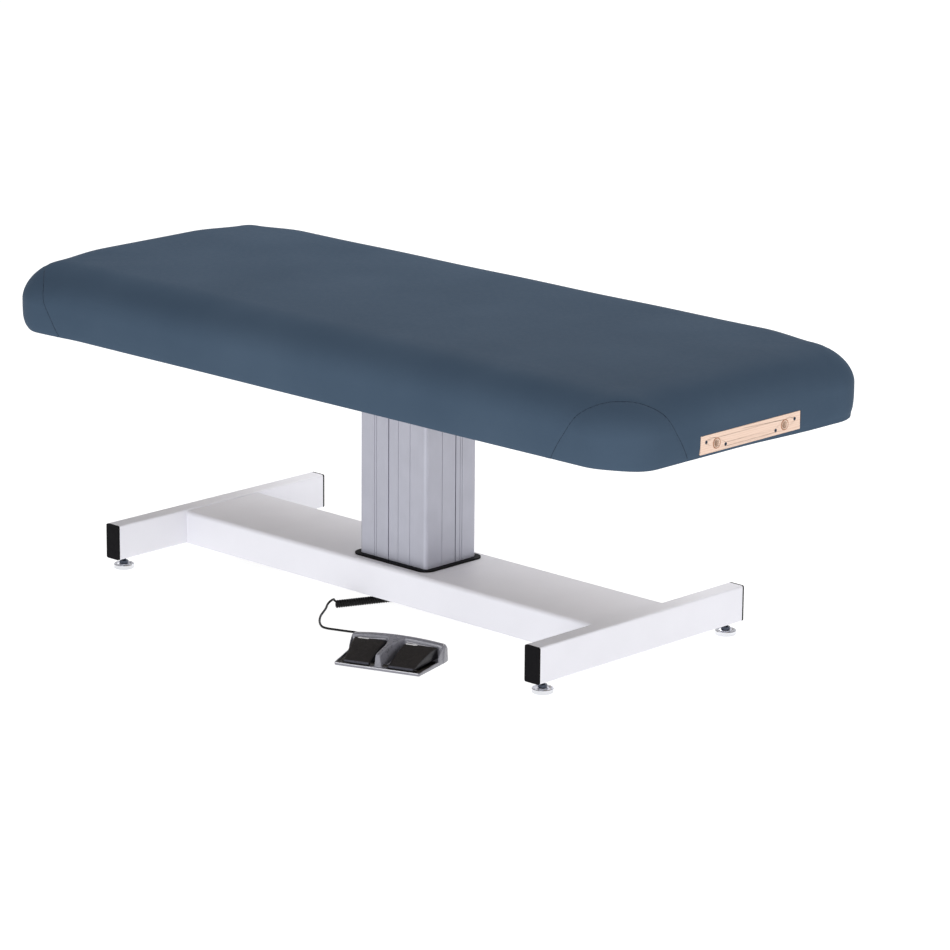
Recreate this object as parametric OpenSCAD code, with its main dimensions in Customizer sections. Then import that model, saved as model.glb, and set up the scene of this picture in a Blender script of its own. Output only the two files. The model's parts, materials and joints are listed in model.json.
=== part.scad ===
// Massage table on an electric lift column, with a two-pedal foot switch.
// The floor is z = 0, the column stands on the origin, X runs along the table and the head end is +X.

/* [Tabletop] */
// Length of the tabletop over its padding
top_l = 1854; // [1800:2:1980]
// Width of the tabletop over its padding
top_w = 762; // [680:2:820]
// Corner radius of the tabletop, seen from above
top_r = 112; // [110:1:150]
// Height of the cushion at its rim
cushion_h = 84; // [60:1:110]
// Further rise of the cushion towards its middle
crown_h = 5; // [1:1:12]
// Width of the rounded edge of the cushion
roll_w = 108; // [80:1:108]
// Thickness of the cushion's padded cover
cover_t = 3; // [2:0.5:3.5]
// Gap between the soft cushion and what it lies on
soft_gap = 0.3; // [0.2:0.1:0.8]
// Thickness of the padding round the deck frame
padding_t = 19; // [12:0.5:24]
// Height of the padding round the deck frame
padding_h = 60; // [54:1:72]
// How far in the lower edge of the padding is drawn
padding_draw = 6; // [2:1:9]
// Height over which the padding is drawn in
padding_ease = 45; // [20:1:48]

/* [Deck frame] */
// Thickness of the deck panel
deck_t = 9; // [6:0.5:15]
// Height of the wooden rails under the deck panel
rail_h = 49; // [44:1:60]
// Thickness of the wooden rails
rail_t = 20; // [14:1:28]
// Width of the wooden plate at the head end
plate_w = 304.8; // [270:0.2:420]
// Height of the wooden plate at the head end
plate_h = 38; // [30:1:44]
// How far the plate lies behind the padding's face
plate_recess = 0.5; // [0:0.1:3]
// Gap between the plate and the padding round it
plate_gap = 0.5; // [0.2:0.1:2]
// Distance between the two face-rest sockets
socket_pitch = 208; // [190:1:240]
// Height of the sockets over the lower edge of the plate
socket_rise = 17; // [14:1:22]
// Bore radius of a face-rest socket
socket_r = 8.1; // [6:0.1:9]
// Wall of a socket liner
liner_wall = 2.9; // [1.5:0.1:4]
// How far a liner reaches in behind the head rail
liner_tail = 30; // [10:1:60]
// Head radius of a plate screw
plate_screw_r = 4; // [3:0.1:5]
// Shank radius of a plate screw
plate_shank_r = 2.2; // [1.5:0.1:2.6]
// Depth of a plate screw's countersunk head
plate_screw_head = 3; // [2:0.1:4]
// Length of a plate screw
plate_screw_l = 34; // [24:1:38]

/* [Support arms] */
// Length of a support arm
arm_l = 1300; // [1100:10:1500]
// Width of a support arm
arm_w = 60; // [40:1:80]
// Height of a support arm
arm_h = 40; // [30:1:60]
// Wall of a support arm
arm_wall = 2.5; // [2:0.1:5]
// Corner radius of a support arm
arm_r = 4; // [3.8:0.1:6]
// Distance from the middle of the table to the middle of an arm
arm_y = 110; // [95:1:118]
// Distance from the column's middle to the head plate's screws
head_screw_x = 130; // [120:1:145]
// Distance between the outer deck screws along an arm
deck_screw_span = 1120; // [800:10:1200]

/* [Lift column] */
// Length of the outer column tube
outer_l = 478.5; // [460:0.5:560]
// Width of the outer column tube along the table
outer_w = 200; // [190:1:220]
// Depth of the outer column tube across the table
outer_d = 154; // [152:1:175]
// Wall of the outer column tube
outer_wall = 8.5; // [7:0.1:10]
// Corner radius of the outer column tube
outer_r = 8.7; // [5:0.1:12]
// Corner cut of the cavity in the outer tube
cavity_cut = 14; // [12:0.5:18]
// Bore radius of the screw ports in the corners
port_r = 3.2; // [2.5:0.1:4]
// Distance of the screw ports from the outer faces
port_in = 7.5; // [6.5:0.1:9]
// Depth of a fine groove in the column
groove_depth = 0.9; // [0.5:0.1:2.5]
// Width of a fine groove in the column
groove_w = 1.3; // [1:0.1:3]
// Depth of the wide groove in the column
slot_depth = 3; // [1:0.1:5]
// Width of the wide groove in the column
slot_w = 3; // [2:0.1:5]
// Gap between the outer and the inner tube
tube_gap = 1.5; // [1:0.1:3]
// Wall of the inner column tube
inner_wall = 4; // [3:0.1:6]
// Length of the inner column tube
inner_l = 421; // [415:1:425]
// Lift of the tabletop
lift_travel = 254; // [150:1:258]
// Running gap of the glide pads and of the top trim
glide_gap = 0.3; // [0.2:0.05:0.5]
// Height of a glide pad
glide_h = 60; // [30:1:90]
// Width of a glide pad on the long sides
glide_w = 40; // [20:1:60]
// Distance of the glide pads on the long sides from the tube's corner cut
glide_in_x = 12; // [6:0.5:20]
// Distance of the glide pads on the short sides from the tube's corner cut
glide_in_y = 6; // [4:0.5:9]
// Least gap between the nut plate and the gearbox
nut_clear = 5.5; // [4:0.5:20]
// Thickness of the black trim on top of the outer tube
trim_t = 4; // [2:0.5:5]
// Gap between the trim and the head plate
head_gap = 6; // [5.5:0.5:12]
// Length of the head plate along the table
head_plate_l = 320; // [300:1:400]
// Width of the head plate
head_plate_w = 300; // [290:1:340]
// Thickness of the head plate and of the column's foot plate
plate_t = 8; // [6:0.5:12]
// Shank radius of the screws in the head plate
head_shank_r = 4; // [3:0.1:5]
// Thickness of a screw head
screw_head_h = 5; // [4:0.1:5.4]

/* [Drive] */
// Gap between the gearbox and the column's wall
drive_gap = 9.5; // [8:0.5:12]
// Radius of the lift spindle
spindle_r = 8; // [6:0.5:10]
// Rise of the table for each turn of the spindle
spindle_lead = 8; // [4:1:10]
// Running fit of shafts and bores, on the radius
fit = 0.05; // [0.02:0.01:0.08]
// Radius of the worm wheel
wheel_r = 24; // [20:0.5:25]
// Number of teeth on the worm wheel
wheel_teeth = 20; // [12:1:30]
// Height of the worm wheel
wheel_h = 12; // [8:0.5:16]
// Depth of the tooth gaps
tooth_depth = 2.4; // [1:0.1:3]
// Radius of the worm
worm_r = 8; // [6:0.5:9]
// Radius of the worm's shaft
worm_shaft_r = 5; // [3:0.1:5.5]
// Gap between the worm and the wheel
mesh_gap = 0.4; // [0.3:0.1:0.8]
// Wall of the gearbox housing
gearbox_wall = 9; // [7:0.5:9.5]
// Running gap round the wheel and the worm
gear_gap = 2; // [1:0.1:3]
// Height of the gearbox housing
gearbox_h = 56; // [50:1:56]
// Thickness of the gearbox floor and lid
gearbox_lid_t = 6; // [5:0.5:6]
// Outer radius of the spindle bearing
bearing_r = 17.5; // [14:0.5:18]
// Height of the spindle bearing
bearing_h = 10; // [8:0.5:12]
// Radius of the drive motor
motor_r = 27; // [22:0.5:28]
// Gap between the drive motor and the column's wall
motor_gap = 7.5; // [6:0.5:20]
// Height of the spindle nut
nut_h = 36; // [24:1:40]
// Radius of the spindle nut
nut_r = 14; // [12:0.5:18]
// Radius of the nut's flange
nut_flange_r = 22; // [19:0.5:26]
// Thickness of the nut's flange
nut_flange_t = 6; // [4:0.5:10]

/* [Base] */
// Height of the foot bars and of the base cover over the floor
bar_clear = 26; // [24:1:40]
// Height of a foot bar
bar_h = 78; // [76:1:90]
// Width of a foot bar
bar_w = 40; // [34:1:60]
// Length of the tube of a foot bar
bar_l = 624; // [560:2:700]
// Wall of a foot bar
bar_wall = 2.5; // [2:0.1:4]
// Corner radius of a foot bar
bar_r = 4; // [3.8:0.1:6]
// Length of the base over the foot bars
base_l = 1306; // [1280:2:1500]
// Thickness of a bar end cap
cap_t = 4; // [2:0.5:8]
// Length of the plug inside a bar end cap
cap_plug = 10; // [6:1:20]
// Gap round the plug
cap_gap = 0.25; // [0.1:0.05:0.5]
// Width of the base cover
cover_w = 226; // [220:1:240]
// Height of the base cover
cover_h = 74.5; // [72:0.5:77.5]
// Sheet thickness of the base cover
sheet_t = 2.5; // [1.5:0.1:3]
// Corner radius of the base cover
cover_r = 9; // [4:0.5:12]
// Width of the lips along the lower edges of the cover
lip_w = 12; // [6:1:20]
// Width of a base rail
rail_w = 25; // [16:1:26]
// Length of the column's foot plate
foot_plate_l = 260; // [225:1:300]
// Gap between the column and the cover and collar round it
column_gap = 0.5; // [0.3:0.1:1]
// How far the black collar reaches out round the column
collar_reach = 14.6; // [8:0.2:16]
// Corner radius of the collar
collar_r = 25; // [16:1:30]
// Thickness of the collar
collar_t = 3.5; // [2:0.1:5]

/* [Levelling feet] */
// Distance of a levelling foot from the end of its bar
foot_in = 29; // [26:1:60]
// Radius of a foot pad
pad_r = 22.5; // [18:0.5:26]
// Height of a foot pad
pad_h = 10; // [8:0.5:12]
// Depth of the dish in the top of a foot pad
pad_dish = 2.5; // [1:0.5:3.5]
// Width of the flat rim round the dish
pad_rim_w = 2.5; // [1.5:0.5:4]
// Chamfer of a foot pad's edges
pad_edge = 1.2; // [0.5:0.1:2]
// Radius of the raised middle of a foot pad
pad_boss_r = 11; // [9:0.5:14]
// Radius of the threaded stud
stud_r = 5; // [4:0.5:6]
// Radius of the pin under the stud that turns in the pad
stud_pin_r = 4; // [3:0.1:5]
// Depth of the pin in the pad
stud_pin_l = 6; // [4:0.5:6.5]
// Width across the flats of the stud's hexagon
stud_hex = 17; // [15:1:18]
// Height of the stud's hexagon
stud_hex_h = 7; // [5:0.5:8]
// How far the stud reaches into its insert at rest
stud_reach = 18; // [16:1:19]
// Adjustment of a levelling foot
foot_travel = 12; // [6:1:14]
// Radius of a threaded insert
insert_r = 7; // [6.5:0.1:9]
// Length of a threaded insert
insert_l = 20; // [20:1:30]
// Flange radius of a threaded insert
insert_flange_r = 10; // [9.5:0.1:12]
// Flange thickness of a threaded insert
insert_flange_t = 2; // [1:0.5:3]

/* [Control box] */
// Length of the control box
box_l = 150; // [120:1:200]
// Width of the control box
box_w = 120; // [100:1:150]
// Height of the control box
box_h = 60; // [50:1:62]
// Wall of the control box
box_wall = 2.5; // [2:0.1:4]
// Place of the control box's right-hand face along the table
box_x = -370; // [-400:1:-300]
// Distance of the two cable entries from the middle of the box
entry_y = 30; // [20:1:40]
// Height of the cord's entry over the floor of the box
entry_rise = 22; // [15:1:30]
// Outer radius of a cable entry
entry_r = 8; // [7:0.5:10]
// Length of the cord's gland outside the box
entry_l = 20; // [12:1:30]
// Bore radius of the mains cable entry
mains_r = 4; // [3:0.1:5]
// Distance of the mains cable entry from the box's right-hand face
mains_in = 30; // [20:1:60]
// Length of the mains cable entry under the box
mains_l = 6; // [3:0.5:10]
// Height of the posts that carry the circuit board
post_h = 7; // [4:0.5:12]
// Radius of a board post
post_r = 3; // [2:0.5:5]
// Thickness of the circuit board
board_t = 1.6; // [1:0.1:2.4]
// Gap between the circuit board and the walls
board_gap = 8; // [4:1:12]

/* [Foot switch] */
// Place of the foot switch along the table
switch_x = 279; // [240:1:320]
// Distance of the foot switch in front of the table's middle
switch_y = 366; // [340:1:420]
// Turn of the foot switch on the floor, in degrees
switch_turn = 20; // [10:1:30]
// Width of the switch along its front edge
switch_front_w = 194; // [180:1:220]
// Width of the switch along its rear edge
switch_rear_w = 212; // [206:1:220]
// Distance from the middle of the switch to its front edge
switch_front = 62; // [60:1:64]
// Distance from the middle of the switch to its rear edge
switch_rear = 59; // [57:1:70]
// Corner radius of the switch
switch_r = 8; // [4:0.5:12]
// Height of the rubber feet of the switch
sole_h = 3; // [2:0.5:5]
// Radius of a rubber foot of the switch
sole_r = 6; // [4:0.5:8]
// Thickness of the switch's base plate
sole_plate_t = 2; // [1.5:0.1:3]
// Height of the rim round the pedals
rim_h = 5; // [3:0.5:7]
// Height of the hood at its middle, over the floor
hood_h = 47; // [44:1:55]
// Drop of the hood from its middle to its ends
hood_drop = 7; // [4:0.5:10]
// Wall of the switch housing
housing_wall = 2.5; // [1.5:0.1:3]
// Distance from the middle of the switch to the front of the hood
hood_front = 35; // [34:1:40]
// Half width of the fin between the pedals, at its root
fin_root = 18; // [15:0.5:19]
// Half width of the fin at its front
fin_tip = 9; // [7:0.5:12]
// Distance from the middle of the switch to the front of the fin
fin_front = 55; // [44:1:57]
// Height of the fin at its front, over the floor
fin_h = 36; // [28:1:40]
// Half of the space between the two pedals
pedal_in = 21; // [20.5:0.5:26]
// Distance from the middle of the switch to a pedal's outer front corner
pedal_out_front = 79; // [70:1:82]
// Distance from the middle of the switch to a pedal's outer rear corner
pedal_out_rear = 94; // [88:1:95]
// Distance from the middle of the switch to the pedals' front edge
pedal_front = 54; // [53:0.5:55]
// Distance from the middle of the switch to the pedals' rear edge
pedal_rear = 33; // [28:0.5:33]
// Height of a pedal's tread at the rear, over the floor
pedal_h = 38; // [32:0.5:40]
// Gap round a pedal
pedal_gap = 1.2; // [0.8:0.1:2]
// Travel of a pedal, in degrees
pedal_travel = 4; // [2:0.5:4]
// Radius of the pedal axle
axle_r = 2; // [1.5:0.1:2.2]
// Distance from the middle of the switch to the pedal axle
axle_front = 48; // [46:0.5:49]
// Height of the pedal axle over the base plate
axle_rise = 4; // [3.8:0.1:4.2]
// Radius of a pedal's knuckle round the axle
knuckle_r = 3.6; // [3.2:0.1:3.7]
// Wire coil radius of a pedal's return spring
spring_r = 3.4; // [3:0.1:3.5]
// Length of a pedal's return spring
spring_l = 10; // [6:0.5:12]
// Length of a micro switch
micro_l = 20; // [16:0.5:22]
// Width of a micro switch
micro_w = 6.4; // [5:0.1:8]
// Height of a micro switch
micro_h = 10; // [8:0.5:11]
// Height of a micro switch's button
button_h = 2.6; // [1.5:0.1:3]
// Length of the strain relief outside the switch
relief_l = 20; // [15:1:30]
// Radius of the strain relief at the housing
relief_r = 5; // [4:0.1:6]
// Radius of the strain relief at its tip
relief_tip_r = 3.2; // [2.8:0.1:4]
// Distance of the strain relief from the middle of the switch
relief_side = 70; // [40:1:80]
// Height of the strain relief over the floor
relief_z = 16; // [12:1:24]

/* [Cord] */
// Diameter of the foot switch's cord
cord_d = 4.6; // [4:0.1:5]
// Diameter of the motor cable
motor_cord_d = 6; // [4:0.1:7]
// Radius of a curl, from its middle to the middle of the cord
curl_r = 6.4; // [5:0.1:8]
// Distance from one curl to the next
curl_pitch = 5.4; // [5.2:0.1:7]
// Number of curls, with a half turn that brings the tail out along the floor
curls = 30.5; // [20.5:1:32.5]

/* [Hidden] */
$fa = 4;
$fs = 0.6;
cut = 1;
corner_x = [-1, 1];
corner_y = [-1, 1];

// Heights of the stack, from the floor up
cover_top = bar_clear + cover_h;
foot_plate_z = bar_clear + sheet_t;
outer_z = foot_plate_z + plate_t;
outer_top = outer_z + outer_l;
gearbox_top = outer_z + gearbox_h;
lid_top = gearbox_top + gearbox_lid_t;
head_z = max(outer_top + trim_t + head_gap, lid_top + nut_clear + inner_l);
arm_z = head_z + plate_t;
deck_z = arm_z + arm_h;
deck_top = deck_z + deck_t;
rail_z = deck_z - rail_h;
padding_z = deck_top - padding_h;
cushion_z = deck_top + soft_gap;
inner_z = head_z - inner_l;

// Plan of the deck
deck_l = top_l - 2 * padding_t;
deck_w = top_w - 2 * padding_t;
deck_r = top_r - padding_t;
rail_reach = deck_l / 2 - rail_t;
deck_screw_shares = [-3, -1, 1, 3] / 3;
deck_bite_share = 0.78;
deck_bite = deck_bite_share * deck_t;
plate_t_wood = padding_t - plate_recess;
plate_face = deck_l / 2 + plate_t_wood;
plate_top = rail_z + plate_h;
socket_z = rail_z + socket_rise;
liner_x = rail_reach - liner_tail;
liner_l = top_l / 2 - liner_x;
// Places of the plate screws as shares of its half width and of its height
plate_screw_shares = [[0.886, 0.63], [0.502, 0.26]];

// Plan of the column
cavity_w = outer_w - 2 * outer_wall;
cavity_d = outer_d - 2 * outer_wall;
inner_w = cavity_w - 2 * tube_gap;
inner_d = cavity_d - 2 * tube_gap;
glide_t = tube_gap - glide_gap;
glide_x = inner_w / 2 - cavity_cut - glide_in_x - glide_w / 2;
glide_y = inner_d / 2 - cavity_cut - glide_in_y - glide_w / 2;
port_x = outer_w / 2 - port_in;
port_y = outer_d / 2 - port_in;
// Places of the grooves as shares of the half face, from the middle of a face
front_groove_shares = [-0.55, -0.49, 0.165, 0.515];
front_slot_share = -0.125;
side_groove_shares = [-0.372, 0.34, 0.42];
side_slot_share = 0.162;

// Drive
gear_share = 0.42;
gear_z = outer_z + gearbox_lid_t + gearbox_h * gear_share;
worm_y = wheel_r + worm_r + mesh_gap;
wheel_space_r = wheel_r + gear_gap;
worm_space_r = worm_r + gear_gap;
gearbox_x0 = drive_gap - cavity_w / 2;
spindle_x = -gearbox_x0 - gearbox_wall - wheel_space_r;
gearbox_x1 = -spindle_x + wheel_space_r + gearbox_wall;
motor_l = cavity_w / 2 - motor_gap - gearbox_x1;
gearbox_y0 = -wheel_space_r - gearbox_wall;
gearbox_y1 = worm_y + worm_space_r + gearbox_wall;
spindle_z0 = outer_z + gearbox_lid_t / 2;
nut_plate_t = plate_t;
nut_z = inner_z + nut_plate_t;
spindle_top = nut_z + nut_h + lift_travel + plate_t;
bearing_z = lid_top - bearing_h;
bearing_lip = 2.5;
tooth_gap_share = 0.42;
worm_reach = 10;
worm_bush_l = 9;

// Base
bar_x = base_l / 2 - bar_w / 2;
base_inner = base_l / 2 - bar_w;
bar_top = bar_clear + bar_h;
rail_y = cover_w / 2 - sheet_t - rail_w / 2;
base_rail_h = cover_h - 2 * sheet_t;
rail_ease = 1;
rail_r = cover_r - sheet_t + rail_ease;
foot_plate_w = cover_w - 2 * sheet_t - 2 * rail_w;
foot_screw_l = 28;
foot_screw_head = 4;
foot_screw_head_r = 6.5;
thread_gap = 0.1;

// Levelling feet
foot_y = bar_l / 2 - foot_in;
FEET = [[-bar_x, -foot_y], [bar_x, -foot_y], [-bar_x, foot_y], [bar_x, foot_y]];
pad_dish_r = pad_r - pad_edge - pad_rim_w - pad_dish;
stud_gap = 0.3;
stud_z = pad_h + stud_gap;
stud_top = bar_clear + stud_reach;

// Control box
box_z = cover_top - sheet_t - box_h;
board_z = box_z + box_wall + post_h;
entry_z = box_z + entry_rise;
entry_x = box_x + entry_l;
mains_x = box_x - mains_in;
mains_z = box_z - mains_l;
cable_y = 50;
cable_hole_r = motor_cord_d / 2 + column_gap;
cable_hole_z = 60;
cable_start_z = 78;
cable_end_x = 40;

// Foot switch
sole_plate_z = sole_h;
housing_z = sole_h + sole_plate_t;
rim_z = housing_z + rim_h;
axle_z = housing_z + axle_rise;
hood_arc_r = (pow(switch_rear_w / 2, 2) + pow(hood_drop, 2)) / (2 * hood_drop);
axle_l = 2 * pedal_out_front + 4 * housing_wall;
fin_dip = 1;
lug_w = 12;
sole_in = 14;
mid_pedal = (pedal_in + pedal_out_front) / 2;
micro_v = 20;
micro_room = 2;
// Height of a pedal's hollow over the switch button, so that the pedal just meets it at full travel
hollow_z = housing_z + micro_h + button_h + (micro_v + axle_front) * sin(pedal_travel) + soft_gap;
// Tread of a pedal as shares of its length and of its rise
tread_shares = [[0, 0], [0.2, 0.27], [0.45, 0.58], [0.72, 0.85], [1, 1]];
pedal_nose = 3.4;
pedal_under = 8;

// Cord
cord_sides = 8;
curl_sides = 6;
curl_steps = 8;
floor_gap = 0.1;
cord_z = cord_d / 2 + floor_gap;
curl_z = curl_r + cord_d / 2 + 2 * floor_gap;
curl_start = [-80, -169];
curl_turn = 66.4;
relief_tip = [-relief_side, switch_rear + relief_l];
lead_points = [
    [174, -291, 13], [152, -276, 8.5], [126, -267, 4.5], [102, -266, cord_z], [82, -269, cord_z],
    [66, -275, cord_z], [50, -281, cord_z], [36, -286, cord_z], [21, -291, cord_z],
    [5, -291, cord_z], [-12, -281, cord_z], [-31, -265, cord_z], [-53, -241, cord_z],
    [-66, -223, cord_z], [-78, -205, cord_z], [-90, -188, cord_z], [-101, -174, 3.6], [-105, -164, 7],
    [-102, -158, 11.5], [-95, -159.6, 14.6]
];
tail_points = [
    [-32, -10, cord_z], [-52, -5, cord_z], [-74, -4, cord_z], [-96, -6, cord_z], [-120, -10, cord_z],
    [-146, -15, cord_z], [-174, -21, cord_z], [-202, -27, cord_z], [-228, -30, cord_z],
    [-250, -30.5, 4], [-267, -30.5, 9.5], [-281, -30, 19], [-293, -30, 32], [-304, -30, 45],
    [-317, -30, 55.5], [-330, -30, 60]
];
cable_points = [
    [-340, -50, 78], [-310, -50, 76], [-270, -49, 70], [-230, -49, 63], [-190, -50, 60], [-150, -50, 60],
    [-120, -50, 60], [-100, -50, 60], [-85, -50, 60], [-65, -52, 60], [-45, -54, 61], [-25, -55, 63],
    [-5, -54, 65], [14, -50, 66], [30, -40, 66], [38, -26, 66], [40, -12, 66]
];

// Outlines

module rounded_rect(w, d, r) {
    square([w - 2 * r, d], center = true);
    square([w, d - 2 * r], center = true);
    for (x = corner_x, y = corner_y)
        translate([x * (w / 2 - r), y * (d / 2 - r)]) circle(r = r);
}

module tube_outline(w, d, wall, r) {
    difference() {
        rounded_rect(w, d, r);
        rounded_rect(w - 2 * wall, d - 2 * wall, r - wall);
    }
}

module cut_corner_rect(w, d, c) {
    polygon([
        [-w / 2 + c, -d / 2], [w / 2 - c, -d / 2], [w / 2, -d / 2 + c], [w / 2, d / 2 - c],
        [w / 2 - c, d / 2], [-w / 2 + c, d / 2], [-w / 2, d / 2 - c], [-w / 2, -d / 2 + c]
    ]);
}

// An upright outline with rounded upper corners, from y = 0 up
module arched_rect(w, h, r) {
    translate([-w / 2, 0]) square([w, h - r]);
    translate([-w / 2 + r, 0]) square([w - 2 * r, h]);
    for (x = corner_x)
        translate([x * (w / 2 - r), h - r]) circle(r = r);
}

// Stands an outline up so that it runs along X, with its x along Y and its y up
module along_x(l) {
    translate([-l / 2, 0, 0]) rotate([90, 0, 90]) linear_extrude(l) children();
}

// A rod along X from x0, at height z
module rod_x(x0, y, z, r, l) {
    translate([x0, y, z]) rotate([0, 90, 0]) cylinder(r = r, h = l);
}

// Solids from stacked rings of points, each ring counter-clockwise about the way it runs

function unit(v) = v / norm(v);
function ring_faces(n, a, b) = [
    for (i = [0 : n - 1])
        let (j = (i + 1) % n)
        for (f = [[a + i, b + i, b + j], [a + i, b + j, a + j]]) f
];
function stack_faces(n, m) = concat(
    [for (k = [0 : m - 2], f = ring_faces(n, k * n, (k + 1) * n)) f],
    [for (i = [1 : n - 2]) [0, i, i + 1]],
    [for (i = [1 : n - 2]) [(m - 1) * n, (m - 1) * n + i + 1, (m - 1) * n + i]]
);

module ring_stack(rings) {
    polyhedron(
        points = [for (ring = rings, p = ring) p],
        faces = stack_faces(len(rings[0]), len(rings)),
        convexity = 8
    );
}

// Cords

function way(p, i) = unit(p[min(i + 1, len(p) - 1)] - p[max(i - 1, 0)]);
function cord_ring(c, t, ref, r, n) = let (s = unit(cross(t, ref)), u = cross(t, s)) [
    for (k = [0 : n - 1]) c + r * (cos(360 * k / n) * s + sin(360 * k / n) * u)
];
function cord_rings(p, ref, r, n) = [for (i = [0 : len(p) - 1]) cord_ring(p[i], way(p, i), ref, r, n)];

module cord(p, ref, d, n) {
    ring_stack(cord_rings(p, ref, d / 2, n));
}

// The curls run along curl_axis, start at their top and end at the floor
curl_axis = [cos(curl_turn), sin(curl_turn), 0];
curl_side = [sin(curl_turn), -cos(curl_turn), 0];
up = [0, 0, 1];
curl_origin = [curl_start[0], curl_start[1], curl_z];
curl_path = [
    for (i = [0 : round(curls * curl_steps)])
        let (a = 90 - 360 * i / curl_steps)
        curl_origin + curl_pitch * i / curl_steps * curl_axis + curl_r * (cos(a) * curl_side + sin(a) * up)
];
curl_way_in = curl_side;
curl_way_out = -curl_side;
curl_points = concat(
    [curl_path[0] - cord_d * curl_way_in],
    curl_path,
    [curl_path[len(curl_path) - 1] + cord_d * curl_way_out]
);
curl_in = curl_points[0];
curl_out = curl_points[len(curl_points) - 1];
relief_exit = switch_point(relief_tip, relief_z);
lead_route = concat(
    [relief_exit, relief_exit + relief_r * 2 * switch_way([0, 1])],
    lead_points,
    [curl_in - cord_d * curl_way_in, curl_in]
);
tail_route = concat(
    [curl_out, curl_out + cord_d * curl_way_out],
    tail_points,
    [[entry_x, -entry_y, entry_z]]
);
cable_route = concat(
    [[box_x, -cable_y, cable_start_z]],
    cable_points,
    [[cable_end_x, worm_y - motor_r, gear_z]]
);

// Place and direction of a point of the foot switch on the floor
function switch_way(q) = [
    q[0] * cos(switch_turn) - q[1] * sin(switch_turn),
    q[0] * sin(switch_turn) + q[1] * cos(switch_turn),
    0
];
function switch_point(q, z) = [switch_x, -switch_y, z] + switch_way(q);

// Least gap of the curled cord to itself, from each point to the stretches of the neighbouring curl
function to_stretch(p, a, b) =
    let (d = b - a, t = max(0, min(1, (p - a) * d / (d * d))))
    norm(p - a - t * d);
last_stretch = len(curl_path) - 2;
curl_gap = min([
    for (i = [0 : last_stretch - curl_steps])
        for (j = [i + curl_steps - 2 : min(i + curl_steps + 2, last_stretch)])
            to_stretch(curl_path[i], curl_path[j], curl_path[j + 1])
]) - cord_d;
function total(v, i = 0) = i < len(v) ? v[i] + total(v, i + 1) : 0;
function route_length(p) = total([for (i = [1 : len(p) - 1]) norm(p[i] - p[i - 1])]);
echo(curl_gap = curl_gap);
echo(lead = route_length(lead_route), curl = route_length(curl_points), tail = route_length(tail_route));

// Cushion

function plan_ring(hx, hy, r, n, z) = [
    for (q = [0 : 3], i = [0 : n])
        let (a = 90 * (q + i / n), sx = q == 0 || q == 3 ? 1 : -1, sy = q < 2 ? 1 : -1)
        [sx * (hx - r) + r * cos(a), sy * (hy - r) + r * sin(a), z]
];
crown_shares = [0.25, 0.55, 0.85];
// Levels of the cushion as [way in from the side, height], with its skin taken off by t
function cushion_levels(t, n) = concat(
    [for (i = [0 : n]) [roll_w * (1 - cos(90 * i / n)), t + (cushion_h - 2 * t) * sin(90 * i / n)]],
    [
        for (s = crown_shares)
            [roll_w + s * (top_w / 2 - roll_w), cushion_h - t + crown_h * (1 - pow(1 - s, 2))]
    ]
);
function cushion_rings(t, corner_n, roll_n) = [
    for (l = cushion_levels(t, roll_n))
        plan_ring(
            top_l / 2 - t - l[0], top_w / 2 - t - l[0], max(top_r - t - l[0], top_r - t - roll_w),
            corner_n, cushion_z + l[1]
        )
];
cushion_corner_steps = 10;
cushion_roll_steps = 8;
foam_corner_steps = 5;
foam_roll_steps = 5;

// Base

module foot_bar(side) {
    color("whitesmoke") difference() {
        translate([side * bar_x, bar_l / 2, bar_clear + bar_h / 2]) rotate([90, 0, 0])
            linear_extrude(bar_l) tube_outline(bar_w, bar_h, bar_wall, bar_r);
        for (y = corner_y)
            translate([side * bar_x, y * foot_y, bar_clear - cut])
                cylinder(r = insert_r, h = bar_wall + 2 * cut);
    }
}

module foot_bar_left() { foot_bar(-1); }

module foot_bar_right() { foot_bar(1); }

module bar_end_caps() {
    plug_inset = 2 * (bar_wall + cap_gap);
    color("black") for (x = corner_x, y = corner_y)
        translate([x * bar_x, 0, bar_clear + bar_h / 2]) rotate([y * 90, 0, 0])
            translate([0, 0, -bar_l / 2 - cap_t]) {
                linear_extrude(cap_t) rounded_rect(bar_w, bar_h, bar_r);
                translate([0, 0, cap_t]) linear_extrude(cap_plug)
                    rounded_rect(bar_w - plug_inset, bar_h - plug_inset, bar_r - bar_wall);
            }
}

module leveler_inserts() {
    color("silver") for (p = FEET)
        translate([p[0], p[1], bar_clear]) difference() {
            union() {
                cylinder(r = insert_r, h = insert_l);
                translate([0, 0, -insert_flange_t]) cylinder(r = insert_flange_r, h = insert_flange_t);
            }
            translate([0, 0, -insert_flange_t - cut])
                cylinder(r = stud_r + fit, h = insert_l + insert_flange_t + 2 * cut);
        }
}

module base_cover() {
    color("white") difference() {
        translate([0, 0, bar_clear]) along_x(2 * base_inner) difference() {
            arched_rect(cover_w, cover_h, cover_r);
            translate([0, sheet_t])
                arched_rect(cover_w - 2 * sheet_t, cover_h - 2 * sheet_t, cover_r - sheet_t);
            translate([-cover_w / 2 + lip_w, -cut]) square([cover_w - 2 * lip_w, sheet_t + 2 * cut]);
        }
        translate([0, 0, cover_top - sheet_t - cut]) linear_extrude(sheet_t + 2 * cut)
            rounded_rect(outer_w + 2 * column_gap, outer_d + 2 * column_gap, outer_r);
    }
}

module base_rails() {
    color("gainsboro") for (y = corner_y)
        translate([0, y * rail_y, foot_plate_z + base_rail_h / 2]) along_x(2 * base_inner)
            tube_outline(rail_w, base_rail_h, sheet_t, rail_r);
}

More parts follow.
